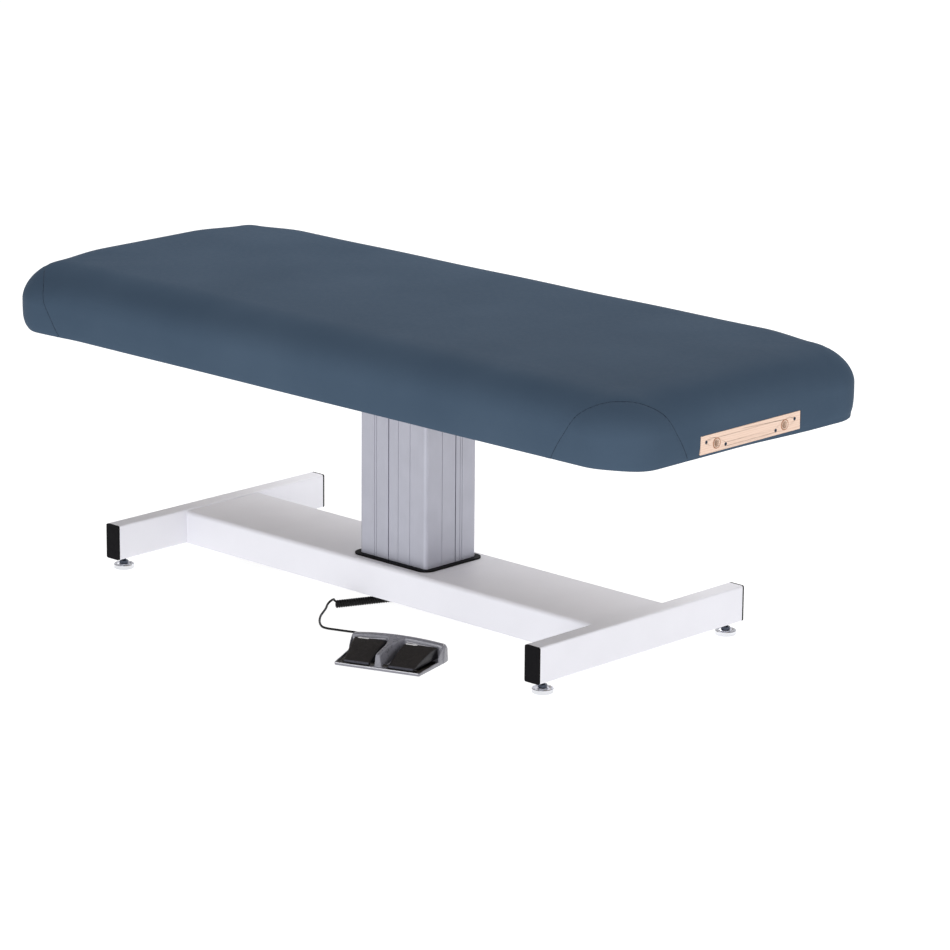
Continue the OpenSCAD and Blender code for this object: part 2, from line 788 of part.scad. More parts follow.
module column_foot_plate() {
    color("gainsboro") difference() {
        translate([-foot_plate_l / 2, -foot_plate_w / 2, foot_plate_z])
            cube([foot_plate_l, foot_plate_w, plate_t]);
        for (x = corner_x, y = corner_y)
            translate([x * port_x, y * port_y, foot_plate_z]) {
                translate([0, 0, -cut]) cylinder(r = port_r, h = plate_t + 2 * cut);
                cylinder(r1 = foot_screw_head_r, r2 = port_r, h = foot_screw_head);
            }
    }
}

module column_foot_screws() {
    color("dimgray") for (x = corner_x, y = corner_y)
        translate([x * port_x, y * port_y, foot_plate_z]) {
            cylinder(r1 = foot_screw_head_r - thread_gap, r2 = port_r - thread_gap, h = foot_screw_head);
            cylinder(r = port_r - thread_gap, h = foot_screw_l);
        }
}

module column_collar() {
    color("black") translate([0, 0, cover_top]) linear_extrude(collar_t) difference() {
        rounded_rect(outer_w + 2 * collar_reach, outer_d + 2 * collar_reach, collar_r);
        rounded_rect(outer_w + 2 * column_gap, outer_d + 2 * column_gap, outer_r);
    }
}

// One groove in a face that lies at distance d along +X of this outline
module groove(place, d, w, depth) {
    translate([d - depth, place - w / 2]) square([depth + cut, w]);
}

module column_grooves() {
    for (turn = [0, 180]) rotate(turn) {
        rotate(-90) {
            for (s = front_groove_shares) groove(s * outer_w / 2, outer_d / 2, groove_w, groove_depth);
            groove(front_slot_share * outer_w / 2, outer_d / 2, slot_w, slot_depth);
        }
        for (s = side_groove_shares) groove(s * outer_d / 2, outer_w / 2, groove_w, groove_depth);
        groove(side_slot_share * outer_d / 2, outer_w / 2, slot_w, slot_depth);
    }
}

module column_outer_tube() {
    color("lightsteelblue") difference() {
        translate([0, 0, outer_z]) linear_extrude(outer_l) difference() {
            rounded_rect(outer_w, outer_d, outer_r);
            cut_corner_rect(cavity_w, cavity_d, cavity_cut);
            column_grooves();
            for (x = corner_x, y = corner_y) translate([x * port_x, y * port_y]) circle(r = port_r);
        }
        rod_x(-outer_w / 2 - cut, -cable_y, cable_hole_z, cable_hole_r, outer_wall + 2 * cut);
    }
}

module column_top_trim() {
    color("black") translate([0, 0, outer_top]) linear_extrude(trim_t) difference() {
        rounded_rect(outer_w, outer_d, outer_r);
        cut_corner_rect(inner_w + 2 * glide_gap, inner_d + 2 * glide_gap, cavity_cut);
    }
}

// Drive

module gearbox_housing() {
    color("darkgray") difference() {
        translate([gearbox_x0, gearbox_y0, outer_z])
            cube([gearbox_x1 - gearbox_x0, gearbox_y1 - gearbox_y0, gearbox_h]);
        translate([-spindle_x, 0, outer_z + gearbox_lid_t]) cylinder(r = wheel_space_r, h = gearbox_h);
        translate([-spindle_x, 0, spindle_z0]) cylinder(r = spindle_r + fit, h = gearbox_h);
        rod_x(gearbox_x0 + worm_bush_l, worm_y, gear_z, worm_space_r, gearbox_x1 - gearbox_x0);
        rod_x(gearbox_x0 + worm_bush_l / 3, worm_y, gear_z, worm_shaft_r + fit, worm_bush_l);
    }
}

module gearbox_lid() {
    boss_h = bearing_h - gearbox_lid_t;
    color("gray") difference() {
        union() {
            translate([gearbox_x0, gearbox_y0, gearbox_top])
                cube([gearbox_x1 - gearbox_x0, gearbox_y1 - gearbox_y0, gearbox_lid_t]);
            translate([-spindle_x, 0, gearbox_top - boss_h - gearbox_lid_t / 3])
                cylinder(r = wheel_space_r - gear_gap / 2, h = boss_h + gearbox_lid_t);
        }
        translate([-spindle_x, 0, bearing_z]) cylinder(r = bearing_r, h = bearing_h + cut);
        translate([-spindle_x, 0, bearing_z - gearbox_lid_t])
            cylinder(r = bearing_r - bearing_lip, h = gearbox_lid_t + cut);
    }
}

module spindle_bearing() {
    color("silver") translate([-spindle_x, 0, bearing_z]) difference() {
        cylinder(r = bearing_r, h = bearing_h);
        translate([0, 0, -cut]) cylinder(r = spindle_r + fit, h = bearing_h + 2 * cut);
    }
}

module drive_motor() {
    color("dimgray") difference() {
        rod_x(gearbox_x1, worm_y, gear_z, motor_r, motor_l);
        rod_x(gearbox_x1 - cut, worm_y, gear_z, worm_shaft_r + fit, worm_reach + 2 * cut);
    }
}

module lift_spindle() {
    color("silver") translate([-spindle_x, 0, spindle_z0 + fit])
        cylinder(r = spindle_r, h = spindle_top - spindle_z0 - fit);
}

module worm_wheel() {
    gap_w = 2 * PI * wheel_r / wheel_teeth * tooth_gap_share;
    color("goldenrod") translate([-spindle_x, 0, gear_z - wheel_h / 2]) difference() {
        cylinder(r = wheel_r, h = wheel_h);
        translate([0, 0, -cut]) cylinder(r = spindle_r, h = wheel_h + 2 * cut);
        for (i = [0 : wheel_teeth - 1]) rotate(360 * i / wheel_teeth)
            translate([wheel_r - tooth_depth, -gap_w / 2, -cut])
                cube([tooth_depth + cut, gap_w, wheel_h + 2 * cut]);
    }
}

module worm_shaft() {
    thread_x0 = gearbox_x0 + worm_bush_l + gear_gap;
    thread_x1 = gearbox_x1 - gear_gap;
    color("silver") {
        rod_x(gearbox_x0 + worm_bush_l / 3 + fit, worm_y, gear_z, worm_shaft_r,
            gearbox_x1 - gearbox_x0 - worm_bush_l / 3 + worm_reach - 2 * fit);
        rod_x(thread_x0, worm_y, gear_z, worm_r, thread_x1 - thread_x0);
    }
}

// Control box

module control_box() {
    color("dimgray") {
        difference() {
            union() {
                translate([box_x - box_l, -box_w / 2, box_z]) cube([box_l, box_w, box_h]);
                translate([mains_x, entry_y, mains_z]) cylinder(r = entry_r, h = mains_l + box_wall);
            }
            translate([box_x - box_l + box_wall, -box_w / 2 + box_wall, box_z + box_wall])
                cube([box_l - 2 * box_wall, box_w - 2 * box_wall, box_h]);
            translate([mains_x, entry_y, mains_z - cut])
                cylinder(r = mains_r, h = mains_l + box_wall + 2 * cut);
            rod_x(box_x - box_wall - cut, -entry_y, entry_z, relief_r, box_wall + 2 * cut);
        }
        for (x = [box_x - box_l + 2 * board_gap, box_x - 2 * board_gap], y = corner_y)
            translate([x, y * (box_w / 2 - 2 * board_gap), box_z + box_wall])
                cylinder(r = post_r, h = post_h);
    }
}

module control_board() {
    color("darkgreen") translate([box_x - box_l + board_gap, -box_w / 2 + board_gap, board_z])
        cube([box_l - 2 * board_gap, box_w - 2 * board_gap, board_t]);
}

module cord_gland() {
    color("black") {
        rod_x(box_x - box_wall, -entry_y, entry_z, relief_r, box_wall + cut);
        rod_x(box_x, -entry_y, entry_z, entry_r, box_wall);
        translate([box_x + box_wall, -entry_y, entry_z]) rotate([0, 90, 0])
            cylinder(r1 = relief_r, r2 = relief_tip_r, h = entry_l - box_wall);
    }
}

module motor_cable() {
    color("black") cord(cable_route, up, motor_cord_d, cord_sides);
}

// Foot switch

module at_switch() {
    translate([switch_x, -switch_y, 0]) rotate([0, 0, switch_turn]) children();
}

module switch_outline(inset) {
    hf = switch_front_w / 2 - inset;
    hr = switch_rear_w / 2 - inset;
    v0 = -switch_front + inset;
    v1 = switch_rear - inset;
    polygon([
        [-hf + switch_r, v0], [hf - switch_r, v0], [hf, v0 + switch_r], [hr, v1 - switch_r],
        [hr - switch_r, v1], [-hr + switch_r, v1], [-hr, v1 - switch_r], [-hf, v0 + switch_r]
    ]);
}

// Outline of one pedal seen from above, grown by g
module pedal_outline(side, g) {
    polygon([
        [side * (pedal_in - g), -pedal_front - g], [side * (pedal_out_front + g), -pedal_front - g],
        [side * (pedal_out_rear + g), pedal_rear + g], [side * (pedal_in - g), pedal_rear + g]
    ]);
}

// A profile drawn in (v, z), made w wide about u = 0
module across_switch(w) {
    rotate([90, 0, 90]) translate([0, 0, -w / 2]) linear_extrude(w) children();
}

module switch_feet() {
    color("black") at_switch()
        for (x = corner_x, v = [-switch_front + sole_in, switch_rear - sole_in])
            translate([x * (switch_front_w / 2 - sole_in), v, 0]) cylinder(r = sole_r, h = sole_h);
}

module switch_base_plate() {
    color("silver") at_switch() translate([0, 0, sole_plate_z])
        linear_extrude(sole_plate_t) switch_outline(housing_wall / 2);
}

// Space under the hood's arch, drawn in (u, z) and run along v
module hood_arch(drop) {
    translate([0, switch_rear + cut, hood_h - drop - hood_arc_r]) rotate([90, 0, 0])
        cylinder(r = hood_arc_r, h = switch_rear + switch_front + 2 * cut);
}

module hood_profile(inset) {
    lean = housing_wall * 2;
    polygon([
        [hood_front + inset, housing_z - cut], [hood_front + inset, rim_z],
        [hood_front + lean + inset, hood_h], [switch_rear - lean - inset, hood_h],
        [switch_rear - inset, rim_z], [switch_rear - inset, housing_z - cut]
    ]);
}

module fin_outline() {
    polygon([
        [-fin_root, switch_rear - housing_wall * 2], [-fin_tip, -fin_front], [fin_tip, -fin_front],
        [fin_root, switch_rear - housing_wall * 2]
    ]);
}

module fin_profile() {
    polygon([
        [-fin_front, housing_z - cut], [-fin_front, fin_h], [hood_front, hood_h - fin_dip],
        [hood_front + 2 * fin_dip, hood_h], [switch_rear - housing_wall * 2, hood_h],
        [switch_rear - housing_wall * 2, housing_z - cut]
    ]);
}

module switch_housing() {
    axle_bore_l = axle_l + 2 * fit;
    color("gray") at_switch() difference() {
        intersection() {
            translate([0, 0, housing_z]) linear_extrude(hood_h) switch_outline(0);
            hood_arch(0);
            union() {
                translate([0, 0, housing_z]) linear_extrude(rim_h) switch_outline(0);
                across_switch(switch_rear_w) hood_profile(0);
                intersection() {
                    translate([0, 0, housing_z]) linear_extrude(hood_h) fin_outline();
                    across_switch(switch_rear_w) fin_profile();
                }
            }
        }
        for (side = [-1, 1])
            translate([0, 0, housing_z - cut]) linear_extrude(hood_h) pedal_outline(side, pedal_gap);
        intersection() {
            hood_arch(housing_wall);
            across_switch(switch_rear_w - 4 * housing_wall) hood_profile(housing_wall);
        }
        for (side = [-1, 1]) mirror([side < 0 ? 1 : 0, 0, 0])
            rod_x(lug_w / 2, -axle_front, axle_z, spring_r + thread_gap, pedal_in - lug_w / 2 + cut);
        rod_x(-axle_bore_l / 2, -axle_front, axle_z, axle_r + fit, axle_bore_l);
        translate([-relief_side, switch_rear + cut, relief_z]) rotate([90, 0, 0])
            cylinder(r = relief_r, h = 2 * housing_wall + 2 * cut);
    }
}

module pedal_axle() {
    color("silver") at_switch() rod_x(-axle_l / 2, -axle_front, axle_z, axle_r, axle_l);
}

module pedal_springs() {
    color("silver") at_switch() for (side = [-1, 1]) mirror([side < 0 ? 1 : 0, 0, 0]) difference() {
        rod_x(pedal_in - spring_l - pedal_gap, -axle_front, axle_z, spring_r, spring_l);
        rod_x(pedal_in - spring_l - pedal_gap - cut, -axle_front, axle_z, axle_r, spring_l + 2 * cut);
    }
}

module micro_switches() {
    color("black") at_switch() for (side = [-1, 1]) translate([side * mid_pedal, micro_v, housing_z]) {
        translate([-micro_w / 2, -micro_l / 2, 0]) cube([micro_w, micro_l, micro_h]);
        cylinder(r = micro_w / 4, h = micro_h + button_h);
    }
}

module cord_relief() {
    color("black") at_switch()
        translate([-relief_side, switch_rear - housing_wall, relief_z]) rotate([-90, 0, 0]) {
            cylinder(r = relief_r, h = housing_wall);
            translate([0, 0, housing_wall]) cylinder(r1 = relief_r, r2 = relief_tip_r, h = relief_l);
        }
}

module pedal(side) {
    tread_l = pedal_front + pedal_rear;
    nose_z = axle_z + pedal_nose;
    tread = [for (s = tread_shares) [-pedal_front + s[0] * tread_l, nose_z + s[1] * (pedal_h - nose_z)]];
    color("black") at_switch() difference() {
        union() {
            intersection() {
                translate([0, 0, housing_z]) linear_extrude(pedal_h) pedal_outline(side, 0);
                across_switch(switch_rear_w) polygon(concat(
                    [[-pedal_front, axle_z - pedal_gap]],
                    tread,
                    [[pedal_rear, housing_z + pedal_under]]
                ));
            }
            mirror([side < 0 ? 1 : 0, 0, 0])
                rod_x(pedal_in, -axle_front, axle_z, knuckle_r, pedal_out_front - pedal_in);
        }
        mirror([side < 0 ? 1 : 0, 0, 0])
            rod_x(pedal_in - cut, -axle_front, axle_z, axle_r + fit, pedal_out_rear);
        translate([side * mid_pedal - micro_w / 2 - micro_room, micro_v - micro_l / 2 - micro_room, 0])
            cube([micro_w + 2 * micro_room, micro_l + 2 * micro_room, hollow_z]);
    }
}

module pedal_left() { pedal(-1); }

module pedal_right() { pedal(1); }

module cord_lead() {
    color("black") cord(lead_route, up, cord_d, cord_sides);
}

module cord_curl() {
    color("black") cord(curl_points, curl_axis, cord_d, curl_sides);
}

module cord_tail() {
    color("black") cord(tail_route, up, cord_d, cord_sides);
}

// Levelling feet

module leveler_pad(i) {
    color("silver") translate([FEET[i][0], FEET[i][1], 0]) difference() {
        union() {
            difference() {
                union() {
                    cylinder(r1 = pad_r - pad_edge, r2 = pad_r, h = pad_edge);
                    translate([0, 0, pad_edge]) cylinder(r = pad_r, h = pad_h - 2 * pad_edge);
                    translate([0, 0, pad_h - pad_edge]) cylinder(r1 = pad_r, r2 = pad_r - pad_edge, h = pad_edge);
                }
                translate([0, 0, pad_h - pad_dish])
                    cylinder(r1 = pad_dish_r, r2 = pad_dish_r + pad_dish + cut, h = pad_dish + cut);
            }
            cylinder(r = pad_boss_r, h = pad_h);
        }
        translate([0, 0, pad_h - stud_pin_l]) cylinder(r = stud_pin_r + fit, h = stud_pin_l + cut);
    }
}

module leveler_stud(i) {
    color("slategray") translate([FEET[i][0], FEET[i][1], 0]) {
        translate([0, 0, stud_z - stud_pin_l]) cylinder(r = stud_pin_r, h = stud_pin_l);
        translate([0, 0, stud_z]) cylinder(r = stud_hex / sqrt(3), h = stud_hex_h, $fn = 6);
        translate([0, 0, stud_z]) cylinder(r = stud_r, h = stud_top - stud_z);
    }
}

// Lifted part

module column_inner_tube() {
    color("lightsteelblue") translate([0, 0, inner_z]) linear_extrude(inner_l) difference() {
        cut_corner_rect(inner_w, inner_d, cavity_cut);
        cut_corner_rect(inner_w - 2 * inner_wall, inner_d - 2 * inner_wall, cavity_cut);
    }
}

module glide_pads() {
    color("ivory") for (x = corner_x, y = corner_y) {
        translate([x * glide_x - glide_w / 2, y * (inner_d / 2 + glide_t / 2) - glide_t / 2, inner_z])
            cube([glide_w, glide_t, glide_h]);
        translate([x * (inner_w / 2 + glide_t / 2) - glide_t / 2, y * glide_y - glide_w / 2, inner_z])
            cube([glide_t, glide_w, glide_h]);
    }
}

module nut_plate() {
    color("gainsboro") translate([0, 0, inner_z]) linear_extrude(nut_plate_t) difference() {
        cut_corner_rect(inner_w - 2 * inner_wall, inner_d - 2 * inner_wall, cavity_cut);
        translate([-spindle_x, 0]) circle(r = nut_r);
    }
}

module spindle_nut() {
    color("goldenrod") translate([-spindle_x, 0, 0]) difference() {
        union() {
            translate([0, 0, nut_z]) cylinder(r = nut_flange_r, h = nut_flange_t);
            translate([0, 0, inner_z]) cylinder(r = nut_r, h = nut_plate_t + nut_h);
        }
        translate([0, 0, inner_z - cut]) cylinder(r = spindle_r + fit, h = nut_plate_t + nut_h + 2 * cut);
    }
}

module head_screw_places() {
    for (x = corner_x, y = corner_y, dy = corner_y)
        translate([x * head_screw_x, y * arm_y + dy * arm_w / 4, 0]) children();
}

module deck_screw_places() {
    for (x = deck_screw_shares, y = corner_y)
        translate([x * deck_screw_span / 2, y * arm_y, 0]) children();
}

module column_head_plate() {
    color("gainsboro") difference() {
        translate([-head_plate_l / 2, -head_plate_w / 2, head_z])
            cube([head_plate_l, head_plate_w, plate_t]);
        head_screw_places() translate([0, 0, head_z - cut])
            cylinder(r = head_shank_r, h = plate_t + 2 * cut);
    }
}

module head_screws() {
    color("dimgray") head_screw_places() {
        translate([0, 0, head_z - screw_head_h]) cylinder(r = head_shank_r + arm_wall, h = screw_head_h);
        translate([0, 0, head_z]) cylinder(r = head_shank_r, h = plate_t + 4 * arm_wall);
    }
}

module support_arms() {
    color("gainsboro") difference() {
        for (y = corner_y)
            translate([0, y * arm_y, arm_z + arm_h / 2]) along_x(arm_l)
                tube_outline(arm_w, arm_h, arm_wall, arm_r);
        head_screw_places() translate([0, 0, arm_z - cut])
            cylinder(r = head_shank_r, h = arm_wall + 2 * cut);
        deck_screw_places() {
            translate([0, 0, arm_z - cut]) cylinder(r = 2 * head_shank_r, h = arm_wall + 2 * cut);
            translate([0, 0, deck_z - arm_wall - cut]) cylinder(r = head_shank_r, h = arm_wall + 2 * cut);
        }
    }
}

module deck_screws() {
    color("dimgray") deck_screw_places() {
        translate([0, 0, deck_z - arm_wall - screw_head_h])
            cylinder(r = head_shank_r + arm_wall, h = screw_head_h);
        translate([0, 0, deck_z - arm_wall]) cylinder(r = head_shank_r, h = arm_wall + deck_bite);
    }
}

module deck_panel() {
    color("burlywood") difference() {
        translate([0, 0, deck_z]) linear_extrude(deck_t) rounded_rect(deck_l, deck_w, deck_r);
        deck_screw_places() translate([0, 0, deck_z - cut]) cylinder(r = head_shank_r, h = deck_bite + cut);
    }
}

module deck_side_rails() {
    rail_l = deck_l - 2 * deck_r;
    color("burlywood") for (y = corner_y)
        translate([-rail_l / 2, y * (deck_w / 2 - rail_t / 2) - rail_t / 2, rail_z])
            cube([rail_l, rail_t, rail_h]);
}

module socket_places() {
    for (y = corner_y) translate([0, y * socket_pitch / 2, socket_z]) rotate([0, 90, 0]) children();
}

module plate_screw_places() {
    for (y = corner_y, s = plate_screw_shares)
        translate([0, y * s[0] * plate_w / 2, rail_z + s[1] * plate_h]) rotate([0, 90, 0]) children();
}

module deck_end_rails() {
    end_l = deck_w - 2 * deck_r;
    color("burlywood") difference() {
        for (x = corner_x)
            translate([x * (deck_l / 2 - rail_t / 2) - rail_t / 2, -end_l / 2, rail_z])
                cube([rail_t, end_l, rail_h]);
        socket_places() translate([0, 0, rail_reach - cut])
            cylinder(r = socket_r + liner_wall, h = rail_t + 2 * cut);
        plate_screw_places() translate([0, 0, plate_face - plate_screw_l - cut])
            cylinder(r = plate_shank_r, h = plate_screw_l);
    }
}

module deck_corner_blocks() {
    color("burlywood") for (q = [0 : 3]) {
        sx = q == 0 || q == 3 ? 1 : -1;
        sy = q < 2 ? 1 : -1;
        translate([sx * (deck_l / 2 - deck_r), sy * (deck_w / 2 - deck_r), rail_z]) rotate([0, 0, 90 * q])
            rotate_extrude(angle = 90) translate([deck_r - rail_t, 0]) square([rail_t, rail_h]);
    }
}

module end_plate() {
    color("tan") difference() {
        translate([deck_l / 2, -plate_w / 2, rail_z]) cube([plate_t_wood, plate_w, plate_h]);
        socket_places() translate([0, 0, deck_l / 2 - cut])
            cylinder(r = socket_r + liner_wall, h = plate_t_wood + 2 * cut);
        plate_screw_places() {
            translate([0, 0, deck_l / 2 - cut]) cylinder(r = plate_shank_r, h = plate_t_wood + 2 * cut);
            translate([0, 0, plate_face - plate_screw_head])
                cylinder(r1 = plate_shank_r, r2 = plate_screw_r, h = plate_screw_head);
        }
    }
}

module socket_liners() {
    color("silver") socket_places() translate([0, 0, liner_x]) difference() {
        cylinder(r = socket_r + liner_wall, h = liner_l);
        translate([0, 0, -cut]) cylinder(r = socket_r, h = liner_l + 2 * cut);
    }
}

module end_plate_screws() {
    color("dimgray") plate_screw_places() {
        translate([0, 0, plate_face - plate_screw_l]) cylinder(r = plate_shank_r, h = plate_screw_l);
        translate([0, 0, plate_face - plate_screw_head])
            cylinder(r1 = plate_shank_r, r2 = plate_screw_r, h = plate_screw_head);
    }
}

// Soft parts

padding_steps = 6;
// Section of the padding: x runs out from the deck frame, y runs up
function padding_section() = concat(
    [[0, padding_h], [0, 0]],
    [
        for (i = [0 : padding_steps])
            let (a = 90 * i / padding_steps)
            [padding_t - padding_draw * (1 - sin(a)), padding_ease * (1 - cos(a))]
    ],
    [[padding_t, padding_h]]
);

module padding_run(x, y, turn, l) {
    translate([x, y, padding_z]) rotate([90, 0, turn]) translate([0, 0, -l / 2])
        linear_extrude(l) polygon(padding_section());
}

module side_padding() {
    long_l = top_l - 2 * top_r;
    short_l = top_w - 2 * top_r;
    color("slategray") difference() {
        union() {
            padding_run(deck_l / 2, 0, 0, short_l);
            padding_run(-deck_l / 2, 0, 180, short_l);
            padding_run(0, deck_w / 2, 90, long_l);
            padding_run(0, -deck_w / 2, -90, long_l);
            for (q = [0 : 3]) {
                sx = q == 0 || q == 3 ? 1 : -1;
                sy = q < 2 ? 1 : -1;
                translate([sx * long_l / 2, sy * short_l / 2, padding_z]) rotate([0, 0, 90 * q])
                    rotate_extrude(angle = 90) translate([deck_r, 0]) polygon(padding_section());
            }
        }
        translate([deck_l / 2 - cut, -plate_w / 2 - plate_gap, padding_z - cut])
            cube([padding_t + 2 * cut, plate_w + 2 * plate_gap, plate_top - padding_z + plate_gap + cut]);
    }
}

module foam_core() {
    color("khaki") ring_stack(cushion_rings(cover_t, foam_corner_steps, foam_roll_steps));
}

module cushion() {
    color("slategray") difference() {
        ring_stack(cushion_rings(0, cushion_corner_steps, cushion_roll_steps));
        ring_stack(cushion_rings(cover_t, foam_corner_steps, foam_roll_steps));
    }
}

foot_bar_left();
foot_bar_right();
bar_end_caps();
leveler_inserts();
base_cover();
base_rails();
column_foot_plate();
column_foot_screws();
column_collar();
column_outer_tube();
column_top_trim();
gearbox_housing();
gearbox_lid();
spindle_bearing();
drive_motor();
control_box();
control_board();
cord_gland();
motor_cable();
switch_feet();
switch_base_plate();
switch_housing();
pedal_axle();
pedal_springs();
micro_switches();
cord_relief();
cord_lead();
cord_curl();
cord_tail();
pedal_left();
pedal_right();
lift_spindle();
worm_wheel();
worm_shaft();
leveler_pad(0);  // leveler_pad_1
leveler_pad(1);  // leveler_pad_2
leveler_pad(2);  // leveler_pad_3
leveler_pad(3);  // leveler_pad_4
leveler_stud(0);  // leveler_stud_1
leveler_stud(1);  // leveler_stud_2
leveler_stud(2);  // leveler_stud_3
leveler_stud(3);  // leveler_stud_4
column_inner_tube();
glide_pads();
nut_plate();
spindle_nut();
column_head_plate();
head_screws();
support_arms();
deck_screws();
deck_panel();
deck_side_rails();
deck_end_rails();
deck_corner_blocks();
end_plate();
socket_liners();
end_plate_screws();
side_padding();
foam_core();
cushion();
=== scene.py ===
import json
import math

import bmesh
import bpy
import numpy as np
from mathutils import Matrix, Vector


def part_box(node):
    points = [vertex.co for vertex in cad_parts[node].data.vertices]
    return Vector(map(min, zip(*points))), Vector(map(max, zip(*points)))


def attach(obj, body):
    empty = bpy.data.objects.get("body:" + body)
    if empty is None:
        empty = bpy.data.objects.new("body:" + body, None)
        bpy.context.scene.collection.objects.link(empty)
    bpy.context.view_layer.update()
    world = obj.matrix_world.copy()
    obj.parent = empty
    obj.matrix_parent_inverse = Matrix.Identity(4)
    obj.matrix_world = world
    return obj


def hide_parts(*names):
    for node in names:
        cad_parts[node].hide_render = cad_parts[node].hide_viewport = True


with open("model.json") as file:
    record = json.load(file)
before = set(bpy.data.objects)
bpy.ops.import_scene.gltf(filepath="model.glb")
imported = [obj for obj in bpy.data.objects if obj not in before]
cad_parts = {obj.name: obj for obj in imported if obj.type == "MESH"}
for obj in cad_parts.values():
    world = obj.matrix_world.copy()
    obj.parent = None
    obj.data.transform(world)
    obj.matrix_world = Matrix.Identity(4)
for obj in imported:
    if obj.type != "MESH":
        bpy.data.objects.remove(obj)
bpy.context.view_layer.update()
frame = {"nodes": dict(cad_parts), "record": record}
scene = bpy.context.scene
MM = 0.001

# Camera, at the photograph's place
CAM_POS = Vector((6.2744, -6.3811, 2.6763))
YAW, PITCH, ROLL = math.radians(43.736), math.radians(14.990), math.radians(0.451)
FOCAL_PX, IMAGE_PX = 4319.62, 950
level_right = Vector((math.cos(YAW), math.sin(YAW), 0))
look = Vector((-math.sin(YAW) * math.cos(PITCH), math.cos(YAW) * math.cos(PITCH), -math.sin(PITCH)))
level_up = level_right.cross(look)
cam_right = level_right * math.cos(ROLL) + level_up * math.sin(ROLL)
cam_up = level_up * math.cos(ROLL) - level_right * math.sin(ROLL)
cam = bpy.data.objects.new("camera", bpy.data.cameras.new("camera"))
scene.collection.objects.link(cam)
cam.data.sensor_width = 36
cam.data.lens = FOCAL_PX / IMAGE_PX * 36
cam.data.clip_end = 100
cam.matrix_world = Matrix((
    (cam_right.x, cam_up.x, -look.x, CAM_POS.x),
    (cam_right.y, cam_up.y, -look.y, CAM_POS.y),
    (cam_right.z, cam_up.z, -look.z, CAM_POS.z),
    (0, 0, 0, 1),
))
scene.camera = cam
scene.view_settings.view_transform = "Standard"


# Materials

def srgb(r, g, b):
    def lin(c):
        c /= 255
        return c / 12.92 if c <= 0.04045 else ((c + 0.055) / 1.055) ** 2.4
    return (lin(r), lin(g), lin(b), 1)


def new_material(name, **settings):
    m = bpy.data.materials.new(name)
    m.use_nodes = True
    shader = m.node_tree.nodes["Principled BSDF"]
    for key, value in settings.items():
        shader.inputs[key.replace("_", " ").title().replace("Ior", "IOR")].default_value = value
    return m


def add(m, kind, **inputs):
    n = m.node_tree.nodes.new(kind)
    for key, value in inputs.items():
        if key in n.inputs:
            n.inputs[key].default_value = value
        else:
            setattr(n, key, value)
    return n


def link(m, a, b):
    m.node_tree.links.new(a, b)


def place(m, stretch=(1, 1, 1)):
    """Coordinates on the object in metres, stretched"""
    coord = add(m, "ShaderNodeTexCoord")
    mapping = add(m, "ShaderNodeMapping", Scale=stretch)
    link(m, coord.outputs["Object"], mapping.inputs["Vector"])
    return mapping.outputs["Vector"]


def noise(m, where, scale, detail=4, roughness=0.5, distortion=0):
    n = add(m, "ShaderNodeTexNoise", Scale=scale, Detail=detail, Roughness=roughness, Distortion=distortion)
    link(m, where, n.inputs["Vector"])
    return n.outputs["Fac"]


def cells(m, where, scale, feature):
    n = add(m, "ShaderNodeTexVoronoi", Scale=scale)
    n.feature = feature
    link(m, where, n.inputs["Vector"])
    return n.outputs["Distance"]


def ramp(m, fac, stops):
    n = add(m, "ShaderNodeValToRGB")
    elements = n.color_ramp.elements
    while len(elements) < len(stops):
        elements.new(0.5)
    for e, (at, colour) in zip(elements, stops):
        e.position = at
        e.color = colour if len(colour) == 4 else (*colour, 1)
    link(m, fac, n.inputs["Fac"])
    return n.outputs["Color"]


def span(m, fac, low, high, out_low, out_high):
    n = add(m, "ShaderNodeMapRange")
    for key, value in (("From Min", low), ("From Max", high), ("To Min", out_low), ("To Max", out_high)):
        n.inputs[key].default_value = value
    link(m, fac, n.inputs["Value"])
    return n.outputs["Result"]


def set_colour(m, out):
    link(m, out, m.node_tree.nodes["Principled BSDF"].inputs["Base Color"])


def set_rough(m, out):
    link(m, out, m.node_tree.nodes["Principled BSDF"].inputs["Roughness"])


def set_bumps(m, *layers):
    """Each layer is (height, strength, distance in metres)"""
    normal = None
    for height, strength, distance in layers:
        b = add(m, "ShaderNodeBump", Strength=strength, Distance=distance)
        link(m, height, b.inputs["Height"])
        if normal is not None:
            link(m, normal, b.inputs["Normal"])
        normal = b.outputs["Normal"]
    link(m, normal, m.node_tree.nodes["Principled BSDF"].inputs["Normal"])


def grey_levels(colour, by):
    return tuple(min(1, c * by) for c in colour[:3]) + (1,)


def painted(name, colour, rough, peel=0.00006, **settings):
    """Powder coat: even colour, slight orange peel, faint dust"""
    m = new_material(name, **settings)
    at = place(m)
    set_colour(m, ramp(m, noise(m, at, 9, 5), [(0.3, grey_levels(colour, 0.965)), (0.7, colour)]))
    set_rough(m, span(m, noise(m, at, 26, 4), 0.3, 0.7, rough - 0.05, rough + 0.07))
    set_bumps(m, (noise(m, at, 700, 2), 0.5, peel))
    return m


def plastic(name, colour, rough=0.45, grain=900, depth=0.00008, **settings):
    """Moulded plastic with a fine spark-eroded grain"""
    m = new_material(name, **settings)
    at = place(m)
    dull, bright = grey_levels(colour, 0.88), grey_levels(colour, 1.1)
    set_colour(m, ramp(m, noise(m, at, 60, 6), [(0.3, dull), (0.72, bright)]))
    set_rough(m, span(m, noise(m, at, 140, 3), 0.3, 0.7, rough - 0.07, rough + 0.08))
    set_bumps(m, (noise(m, at, grain, 3, 0.7), 0.6, depth))
    return m


